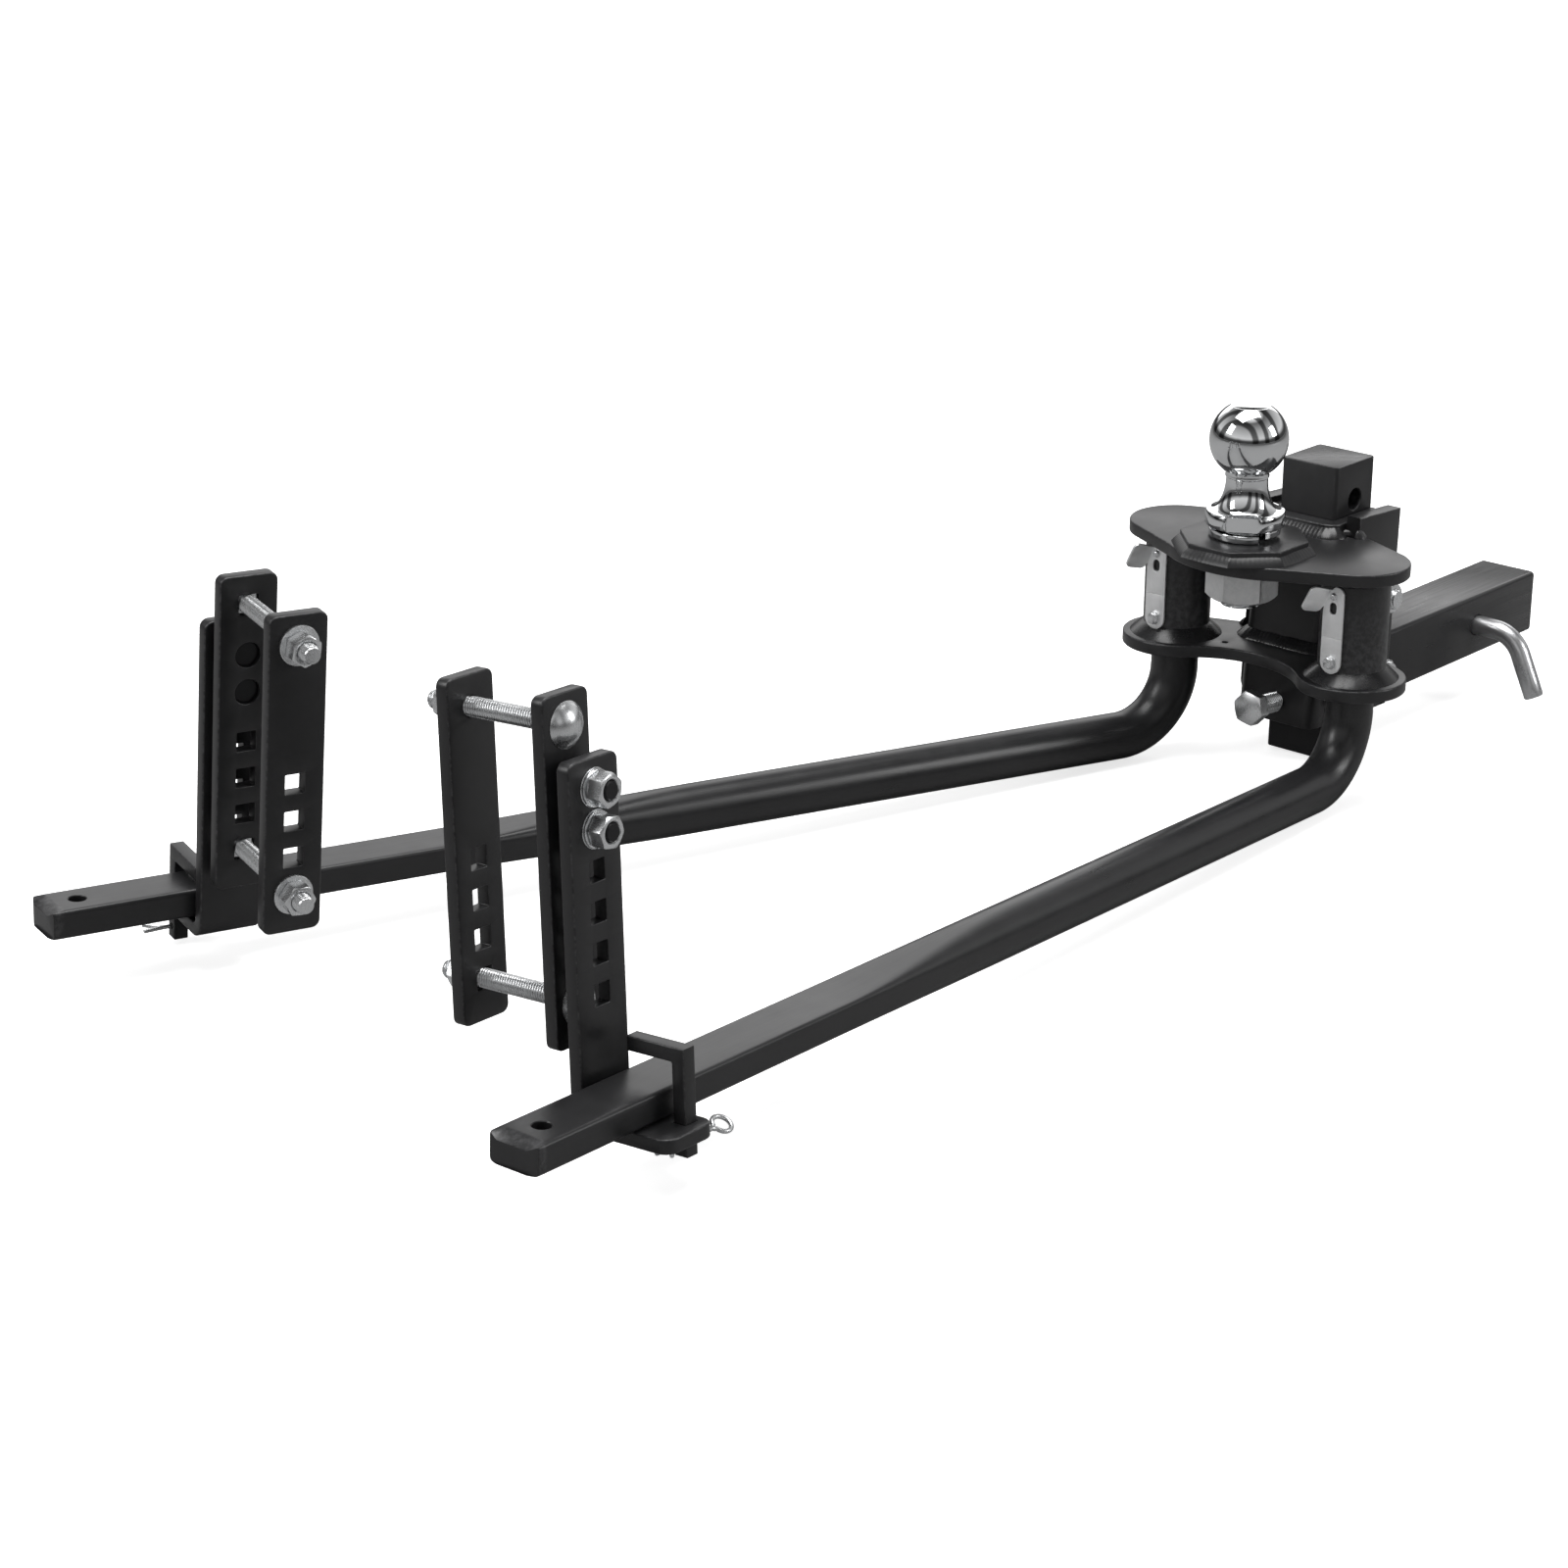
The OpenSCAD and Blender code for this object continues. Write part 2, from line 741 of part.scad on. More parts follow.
module carriage_nuts(side) {
  y = clamp_y + plate3 + washer_t;
  color(zinc)
  bracket_frame(side) for (z = [top_bolt_z, low_bolt_z]) difference() {
    y_hex(0, z, nut_af, y, y + nut_h);
    y_rod(0, z, bolt_d + 0.1, y - 1, y + nut_h + 1);
  }
}

module keeper(side) {
  top = keeper_top + lift(side);
  kx = keep_x(side);
  color(black)
  bracket_frame(side) difference() {
    union() {
      box([kx - keeper_w / 2, keeper_y, top - keeper_len], [kx + keeper_w / 2, keeper_y + keeper_t, top]);
      box([kx - keeper_w / 2, keeper_y, top - keeper_t], [kx + keeper_w / 2, keeper_in, top]);
    }
    translate([kx - 20, keeper_y + keeper_t / 2, top - keeper_pin]) rotate([0, 90, 0]) cylinder(d = 4.6, h = 40);
  }
}

module cotter_pin(side) {
  eye_x = 32;
  eye_r = 5.4;
  back = 12;
  leg = 13;
  color(zinc)
  bracket_frame(side)
    translate([keep_x(side), keeper_y + keeper_t / 2, keeper_top + lift(side) - keeper_pin]) {
      translate([-back, 0, 0]) rotate([0, 90, 0]) cylinder(d = wire_d, h = back + eye_x - eye_r);
      translate([eye_x, 0, 0]) rotate([90, 0, 0]) rotate_extrude() translate([eye_r, 0]) circle(d = 3);
      for (s = [-1, 1]) translate([-back + 1, 0, 0]) rotate([0, -90, s * 18]) cylinder(d = 2.4, h = leg);
    }
}

module right_l_bracket() {
  l_bracket(-1);
}

module left_l_bracket() {
  l_bracket(1);
}

module right_link_plate() {
  link_plate(-1);
}

module left_link_plate() {
  link_plate(1);
}

module right_clamp_plate() {
  clamp_plate(-1);
}

module left_clamp_plate() {
  clamp_plate(1);
}

module right_studs() {
  bracket_studs(-1);
}

module left_studs() {
  bracket_studs(1);
}

module right_stud_washers() {
  stud_washers(-1);
}

module left_stud_washers() {
  stud_washers(1);
}

module right_stud_nuts() {
  stud_nuts(-1);
}

module left_stud_nuts() {
  stud_nuts(1);
}

module right_carriage_bolts() {
  carriage_bolts(-1);
}

module left_carriage_bolts() {
  carriage_bolts(1);
}

module right_bolt_washers() {
  carriage_washers(-1);
}

module left_bolt_washers() {
  carriage_washers(1);
}

module right_bolt_nuts() {
  carriage_nuts(-1);
}

module left_bolt_nuts() {
  carriage_nuts(1);
}

module right_keeper() {
  keeper(-1);
}

module left_keeper() {
  keeper(1);
}

module right_cotter_pin() {
  cotter_pin(-1);
}

module left_cotter_pin() {
  cotter_pin(1);
}

// ---------- nodes ----------

receiver_shank();
vertical_bar();
shank_weld();
head_top_plate();
ball_pad();
head_bottom_plate();
right_socket();
left_socket();
head_sleeve();
head_side_plates();
head_socket_welds();
head_sleeve_welds();
hitch_ball();
ball_lock_washer();
ball_nut();
tilt_bolt();
head_set_screw();
cross_bolts();
cross_washers();
cross_nuts();
hitch_pin();
hitch_pin_clip();
right_clip_root();
right_clip_leaf();
right_detent_pin();
right_clip_screw();
right_spring_bar();
right_l_bracket();
right_link_plate();
right_clamp_plate();
right_studs();
right_stud_washers();
right_stud_nuts();
right_carriage_bolts();
right_bolt_washers();
right_bolt_nuts();
right_keeper();
right_cotter_pin();
left_clip_root();
left_clip_leaf();
left_detent_pin();
left_clip_screw();
left_spring_bar();
left_l_bracket();
left_link_plate();
left_clamp_plate();
left_studs();
left_stud_washers();
left_stud_nuts();
left_carriage_bolts();
left_bolt_washers();
left_bolt_nuts();
left_keeper();
left_cotter_pin();
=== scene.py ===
"""Weight distribution hitch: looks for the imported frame. Dimensions are millimetres until Part.build."""
import math

import bmesh
import bpy
import numpy as np
from mathutils import Matrix, Vector
from mathutils.geometry import delaunay_2d_cdt


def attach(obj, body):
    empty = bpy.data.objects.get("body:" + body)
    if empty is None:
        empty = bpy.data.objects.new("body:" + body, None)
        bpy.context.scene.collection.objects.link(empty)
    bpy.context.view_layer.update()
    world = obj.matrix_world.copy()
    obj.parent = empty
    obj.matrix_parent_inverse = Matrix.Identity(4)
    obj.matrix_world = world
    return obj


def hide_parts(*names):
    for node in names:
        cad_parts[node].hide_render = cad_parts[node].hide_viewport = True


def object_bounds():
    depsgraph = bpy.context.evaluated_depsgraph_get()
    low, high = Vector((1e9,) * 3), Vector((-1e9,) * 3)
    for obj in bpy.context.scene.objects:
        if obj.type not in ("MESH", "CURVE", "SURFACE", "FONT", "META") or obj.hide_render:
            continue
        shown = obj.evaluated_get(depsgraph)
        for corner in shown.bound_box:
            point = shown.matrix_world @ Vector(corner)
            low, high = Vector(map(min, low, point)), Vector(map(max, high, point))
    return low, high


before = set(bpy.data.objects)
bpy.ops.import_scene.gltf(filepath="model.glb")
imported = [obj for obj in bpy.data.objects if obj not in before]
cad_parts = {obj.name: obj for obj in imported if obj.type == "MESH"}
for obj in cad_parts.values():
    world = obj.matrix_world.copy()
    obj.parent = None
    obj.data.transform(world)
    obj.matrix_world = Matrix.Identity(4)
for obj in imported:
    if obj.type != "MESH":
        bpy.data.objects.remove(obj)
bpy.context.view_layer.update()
S = {-1: "right", 1: "left"}    # sides, by the sign of y


def cosd(a):
    return math.cos(math.radians(a))


def sind(a):
    return math.sin(math.radians(a))


# ---------------------------------------------------------------- numbers shared with the CAD source
SOCKET = (32.0, 80.0)
RUN_Z, RISE, LEAN = -252.4, 2.0, 4.0
SPLAY = {-1: 2.7, 1: 17.2}
AT = {-1: 818.0, 1: 806.0}
BAR_X, TILT = 109.0, 5.6
BOLT_Z = (-135.0, -197.5)
TOP, LOW = -84.0, -173.0
SLEEVE_TOP, SLEEVE_LOW = -75.0, -234.0
BELOW = TOP - 10.0
SHANK_Z, PIN_X = -211.3, 304.0
PLATE = 9.5
LEG_Y, LINK_Y = 23.0, 42.5
CLAMP_Y = LINK_Y + PLATE + 66.0
STUD_Z = (188.0, 162.6)
TOP_BOLT, LOW_BOLT, PITCH = 222.5, 51.9, 25.4
FOOT_TOP = -(9.5 * cosd(LEAN) + 19.25 * sind(LEAN) + 0.28)
KEEP_X = {-1: 10.0, 1: -11.0}
LIFT = {-1: 13.0, 1: 0.0}


def wall_x(z):
    """Where the sleeve's rear wall is at height z; the wall leans by TILT."""
    return 67.0 - (SLEEVE_TOP - z) * math.tan(math.radians(TILT))


# ---------------------------------------------------------------- transforms
def T(x, y, z):
    m = np.eye(4)
    m[:3, 3] = (x, y, z)
    return m


def rot(axis, deg):
    return np.array(Matrix.Rotation(math.radians(deg), 4, axis))


MY = np.diag([1.0, -1.0, 1.0, 1.0])
TO_Y = rot("X", -90)          # +Z becomes +Y
TO_X = rot("Y", 90)           # +Z becomes +X


def bar_frame(s):
    return T(SOCKET[0], s * SOCKET[1], RUN_Z) @ rot("Z", -s * SPLAY[s]) @ rot("Y", RISE)


def bracket_frame(s):
    return bar_frame(s) @ (MY if s > 0 else np.eye(4)) @ T(-AT[s], 0, 0) @ rot("X", -LEAN)


# ---------------------------------------------------------------- mesh pieces, each a closed skin
class Part:
    def __init__(self):
        self.v, self.f, self.w, self.n = [], [], [], 0

    def add(self, mesh, m=None):
        v, f, w = mesh
        v = np.asarray(v, float)
        if m is not None:
            v = v @ m[:3, :3].T + m[:3, 3]
        self.v.append(v)
        self.w.append(np.zeros(len(v)) if w is None else np.asarray(w, float))
        self.f += [[i + self.n for i in face] for face in f]
        self.n += len(v)
        return self

    def build(self, name, body, mat, slot, *nodes, angle=38):
        me = bpy.data.meshes.new(name)
        me.from_pydata((np.concatenate(self.v) * 0.001).tolist(), [], self.f)
        bm = bmesh.new()
        bm.from_mesh(me)
        bmesh.ops.recalc_face_normals(bm, faces=bm.faces)
        bm.to_mesh(me)
        bm.free()
        me.polygons.foreach_set("use_smooth", [True] * len(me.polygons))
        me.set_sharp_from_angle(angle=math.radians(angle))
        att = me.attributes.new("wear", "FLOAT", "POINT")
        att.data.foreach_set("value", np.concatenate(self.w).astype(np.float32))
        me.materials.append(mat)
        o = bpy.data.objects.new(name, me)
        bpy.context.scene.collection.objects.link(o)
        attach(o, body)
        if nodes:
            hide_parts(*nodes)
        return o


def skin(rings, loop=False, wear=None, caps=True):
    """Quads between rings of equal length, with flat end caps unless the rings close on themselves."""
    k = len(rings[0])
    v = np.concatenate([np.asarray(r, float) for r in rings])
    n = len(rings)
    f = []
    for i in range(n if loop else n - 1):
        a, b = i * k, ((i + 1) % n) * k
        for j in range(k):
            j2 = (j + 1) % k
            f.append([a + j, a + j2, b + j2, b + j])
    if not loop and caps:
        f.append(list(range(k))[::-1])
        f.append([(n - 1) * k + j for j in range(k)])
    w = None if wear is None else np.repeat(np.asarray(wear, float), k)
    return v, f, w


def circle(n):
    a = np.linspace(0, 2 * math.pi, n, endpoint=False)
    return np.cos(a), np.sin(a)


def lathe(profile, n=48, loop=False, wear=None):
    c, s = circle(n)
    rings = [np.stack([max(r, 0.02) * c, max(r, 0.02) * s, np.full(n, float(z))], 1) for r, z in profile]
    return skin(rings, loop, wear)


def washer(od, id_, t, b=0.35, n=48):
    o, i = od / 2, id_ / 2
    prof = [(i, b), (i + b, 0), (o - b, 0), (o, b), (o, t - b), (o - b, t), (i + b, t), (i, t - b)]
    return lathe(prof, n, True, [0, .6, .6, 1, 1, .6, .6, 0])


def hexagon(af, n):
    a = np.linspace(0, 360, n, endpoint=False)
    r = af / 2 / np.cos(np.radians((a + 30) % 60 - 30))
    return a, np.minimum(r, af / math.sqrt(3) * 0.988)


def hexpiece(af, h, bore=0.0, n=72, low=True, high=True, face=0.95, domed=0.0):
    """A nut (bore > 0) or bolt head, its corners cut back by a 30 degree cone at either end."""
    a, r = hexagon(af, n)
    c, s = np.cos(np.radians(a)), np.sin(np.radians(a))
    rc = af / 2 * face
    drop = np.maximum(r - rc, 0) * math.tan(math.radians(28))

    def ring(rad, z):
        rad = np.broadcast_to(rad, n)
        return np.stack([rad * c, rad * s, np.broadcast_to(z, n)], 1)

    rb = max(bore / 2, 0.02)
    rows = [ring(rc if low else r, 0.0), ring(r, drop + 0.02 if low else 0.0),
            ring(r, h - drop - 0.02 if high else h), ring(rc if high else r, h)]
    wear = [.5, 1, 1, .5]
    if domed:
        rows += [ring(rc * q, h + domed * (1 - q * q)) for q in (0.8, 0.55, 0.3, 0.1)]
        wear += [0] * 4
    if bore:
        rows += [ring(rb + 0.9, h), ring(rb, h - 0.9), ring(rb, 0.9), ring(rb + 0.9, 0)]
        wear += [.3, 0, 0, .3]
        return skin(rows, True, wear)
    return skin(rows, False, wear)


def thread(d, z0, z1, pitch, n=36, ends=(True, True)):
    """A rod with a real helical thread, its crests fading at either end."""
    step = pitch / 7
    zs = np.arange(z0, z1 + step / 2, step)
    zs[-1] = z1
    c, s = circle(n)
    turn = np.arange(n) / n
    depth = 0.56 * pitch
    rings = []
    for z in zs:
        fade = 1.0
        if ends[0]:
            fade = min(fade, (z - z0) / (1.2 * pitch))
        if ends[1]:
            fade = min(fade, (z1 - z) / (1.2 * pitch))
        ph = (z / pitch - turn) % 1.0
        tri = np.clip(1.25 * (1 - np.abs(2 * ph - 1)) * 1.3 - 0.2, 0, 1)
        r = d / 2 - depth * (1 - tri)
        r = np.minimum(r, d / 2 - depth * 0.9 * (1 - max(fade, 0)))
        rings.append(np.stack([r * c, r * s, np.full(n, z)], 1))
    return skin(rings)


def offset(loop, d):
    """The closed loop moved inwards by d (a counter-clockwise loop)."""
    p = np.asarray(loop, float)
    e = np.roll(p, -1, 0) - p
    e /= np.linalg.norm(e, axis=1, keepdims=True)
    nrm = np.stack([-e[:, 1], e[:, 0]], 1)
    prev = np.roll(nrm, 1, 0)
    m = nrm + prev
    k = 1 + (nrm * prev).sum(1)
    return p + d * m / np.maximum(k, 0.35)[:, None]


def inside(pt, loops):
    hit = False
    x, y = pt
    for lp in loops:
        a, b = lp, np.roll(lp, -1, 0)
        cross = (a[:, 1] > y) != (b[:, 1] > y)
        if not cross.any():
            continue
        a, b = a[cross], b[cross]
        xs = a[:, 0] + (y - a[:, 1]) / (b[:, 1] - a[:, 1]) * (b[:, 0] - a[:, 0])
        if (xs > x).sum() % 2:
            hit = not hit
    return hit


def ccw(loop, want=True):
    p = np.asarray(loop, float)
    area = (p[:, 0] * np.roll(p[:, 1], -1) - np.roll(p[:, 0], -1) * p[:, 1]).sum()
    return p if (area > 0) == want else p[::-1]


def slab(outer, holes=(), z0=0.0, z1=1.0, b=0.8, nb=3, extra=(), hb=None):
    """A plate with rounded edges, from a flat outline and holes, its caps triangulated with extra points."""
    loops = [ccw(outer)] + [ccw(h, False) for h in holes]
    bs = [b] + [min(b, 0.5) if hb is None else hb] * len(holes)
    verts, faces, wear, inner = [], [], [], []
    base = 0
    for lp, bb in zip(loops, bs):
        k = len(lp)
        rows, ww = [], []
        for i in range(nb + 1):
            a = math.pi / 2 * i / nb
            rows.append((bb * (1 - math.sin(a)), z0 + bb * (1 - math.cos(a))))
            ww.append(math.sin(2 * a) ** 0.5 if 0 < i < nb else 0)
        rows += [(d, z0 + z1 - z) for d, z in rows[::-1]]
        ww += ww[::-1]
        for (d, z), w in zip(rows, ww):
            q = offset(lp, d)
            verts.append(np.column_stack([q, np.full(k, z)]))
            wear += [w] * k
        for i in range(len(rows) - 1):
            for j in range(k):
                j2 = (j + 1) % k
                a0, a1 = base + i * k, base + (i + 1) * k
                faces.append([a0 + j, a0 + j2, a1 + j2, a1 + j])
        inner.append((offset(lp, bb), base, base + (len(rows) - 1) * k))
        base += len(rows) * k
    pts, edges, low, high = [], [], [], []
    for lp, i0, i1 in inner:
        s0, k = len(pts), len(lp)
        pts += [tuple(p) for p in lp]
        edges += [(s0 + j, s0 + (j + 1) % k) for j in range(k)]
        low += [i0 + j for j in range(k)]
        high += [i1 + j for j in range(k)]
    rims = [lp for lp, _, _ in inner]
    ex = [p for p in extra if inside(p, rims)]
    if ex:
        verts.append(np.array([[p[0], p[1], z0] for p in ex]))
        verts.append(np.array([[p[0], p[1], z1] for p in ex]))
        wear += [0] * (2 * len(ex))
        low += [base + i for i in range(len(ex))]
        high += [base + len(ex) + i for i in range(len(ex))]
        pts += [tuple(p) for p in ex]
    out, _, tris, orig, _, _ = delaunay_2d_cdt([Vector(p) for p in pts], edges, [], 0, 1e-5)
    back = [o[0] if o else None for o in orig]
    for t in tris:
        c = sum((out[i] for i in t), Vector((0, 0))) / len(t)
        ids = [back[i] for i in t]
        if None in ids or not inside(c, rims):
            continue
        faces.append([low[i] for i in ids][::-1])
        faces.append([high[i] for i in ids])
    return np.concatenate(verts), faces, wear


def arc(cx, cy, r, a0, a1, n):
    return [(cx + r * cosd(a0 + (a1 - a0) * i / n),
             cy + r * sind(a0 + (a1 - a0) * i / n)) for i in range(n + 1)]


def round_rect(x0, x1, y0, y1, r, n=6, per=None):
    """Counter-clockwise rounded rectangle; r is one radius or four from the low corner on."""
    rs = [r] * 4 if not hasattr(r, "__len__") else r
    pts = []
    for (cx, cy, a), q in zip(((x0, y0, 180), (x1, y0, 270), (x1, y1, 0), (x0, y1, 90)), rs):
        sx, sy = (1 if cx == x0 else -1), (1 if cy == y0 else -1)
        pts += arc(cx + sx * q, cy + sy * q, q, a, a + 90, n)
    if per:
        pts = densify(pts, per)
    return pts


def densify(pts, per):
    out = []
    for p, q in zip(pts, pts[1:] + pts[:1]):
        k = max(1, int(math.dist(p, q) / per))
        out += [(p[0] + (q[0] - p[0]) * i / k, p[1] + (q[1] - p[1]) * i / k) for i in range(k)]
    return out


def disc(cx, cy, r, n=40):
    return arc(cx, cy, r, 0, 360 - 360 / n, n - 1)


def sweep(path, section, up=(0, 0, 1), loop=False, scale=None, caps=True, wear=None):
    """The (x, y) section carried along the path; x is sideways, y is up."""
    p = np.asarray(path, float)
    if loop:
        t = np.roll(p, -1, 0) - np.roll(p, 1, 0)
    else:
        t = np.gradient(p, axis=0)
    t /= np.linalg.norm(t, axis=1, keepdims=True)
    u = np.asarray(up, float)
    u = np.broadcast_to(u, p.shape)
    side = np.cross(t, u)
    side /= np.linalg.norm(side, axis=1, keepdims=True)
    upv = np.cross(side, t)
    rings = []
    for i in range(len(p)):
        sec = np.asarray(section(i) if callable(section) else section, float)
        k = 1.0 if scale is None else scale[i]
        rings.append(p[i] + k * (sec[:, :1] * side[i] + sec[:, 1:2] * upv[i]))
    return skin(rings, loop, wear=wear, caps=caps)


def tube(path, r, n=20, up=(0, 0, 1), nose=0.0):
    """Round wire or rod along the path, ends eased over nose millimetres."""
    p = [np.asarray(q, float) for q in path]
    sc = [1.0] * len(p)
    if nose:
        d0, d1 = p[0] - p[1], p[-1] - p[-2]
        d0, d1 = d0 / np.linalg.norm(d0), d1 / np.linalg.norm(d1)
        a, b = p[0] + 0, p[-1] + 0
        k = 1 - nose / r
        p = [a, a - d0 * nose * 0.3, a - d0 * nose] + p[1:-1] + [b - d1 * nose, b - d1 * nose * 0.3, b]
        sc = [k, k + (1 - k) * 0.7, 1] + [1] * (len(p) - 6) + [1, k + (1 - k) * 0.7, k]
    c, s = circle(n)
    return sweep(p, np.stack([r * c, r * s], 1), up, scale=sc)


def weld(points, a, b, size=(6, 6), closed=False, seed=0, bulge=0.82, ends=True, ripple=0.02, lumps=0.035):
    """A fillet bead along points: legs along the directions a and b, with ripples every few millimetres."""
    p = np.asarray(points, float)
    n = len(p)
    a = np.broadcast_to(np.asarray(a, float), p.shape)
    b = np.broadcast_to(np.asarray(b, float), p.shape)
    step = np.linalg.norm(np.diff(p, axis=0), axis=1)
    run = np.concatenate([[0], np.cumsum(step)])
    r = np.random.default_rng(seed)
    knots = r.normal(0, 1, n // 12 + 4)
    slow = np.interp(np.linspace(0, len(knots) - 1, n), np.arange(len(knots)), knots)
    if closed:
        slow[-max(4, n // 20):] = np.linspace(slow[-max(4, n // 20)], slow[0], max(4, n // 20))
    rings = []
    for i in range(n):
        k = 1 + ripple * math.cos(2 * math.pi * run[i] / 3.4) + lumps * slow[i]
        if ends and not closed:
            edge = min(run[i], run[-1] - run[i]) / (0.9 * size[0])
            k *= math.sqrt(max(0.06, 1 - (1 - min(1, edge)) ** 2))
        ring = []
        for j in range(9):
            f = math.pi / 2 * j / 8
            e = 2 * bulge
            ca, sa = math.cos(f) ** e, math.sin(f) ** e
            ring.append(p[i] + k * (size[0] * ca * a[i] + size[1] * sa * b[i]))
        ring.append(p[i] - 1.2 * (a[i] + b[i]))
        rings.append(np.array(ring))
    return skin(rings, closed)


def cut(obj, cutter_mesh, m=None):
    """Subtracts a closed mesh from a built piece."""
    c = Part().add(cutter_mesh, m)
    me = bpy.data.meshes.new("cutter")
    me.from_pydata((np.concatenate(c.v) * 0.001).tolist(), [], c.f)
    bm = bmesh.new()
    bm.from_mesh(me)
    bmesh.ops.recalc_face_normals(bm, faces=bm.faces)
    bm.to_mesh(me)
    bm.free()
    co = bpy.data.objects.new("cutter", me)
    bpy.context.scene.collection.objects.link(co)
    mod = obj.modifiers.new("cut", "BOOLEAN")
    mod.object, mod.operation, mod.solver = co, "DIFFERENCE", "EXACT"
    bpy.context.view_layer.update()
    dg = bpy.context.evaluated_depsgraph_get()
    new = bpy.data.meshes.new_from_object(obj.evaluated_get(dg))
    obj.modifiers.remove(mod)
    old = obj.data
    obj.data = new
    new.name = old.name + "_cut"
    bpy.data.objects.remove(co)
    new.polygons.foreach_set("use_smooth", [True] * len(new.polygons))
    new.set_sharp_from_angle(angle=math.radians(38))
    return obj


def hole_cutter(r, z0, z1, c=0.7, n=48):
    """A drill with countersunk ends at z0 and z1."""
    return lathe([(r + c + 2, z0 - 2), (r, z0 + c), (r, z1 - c), (r + c + 2, z1 + 2)], n)


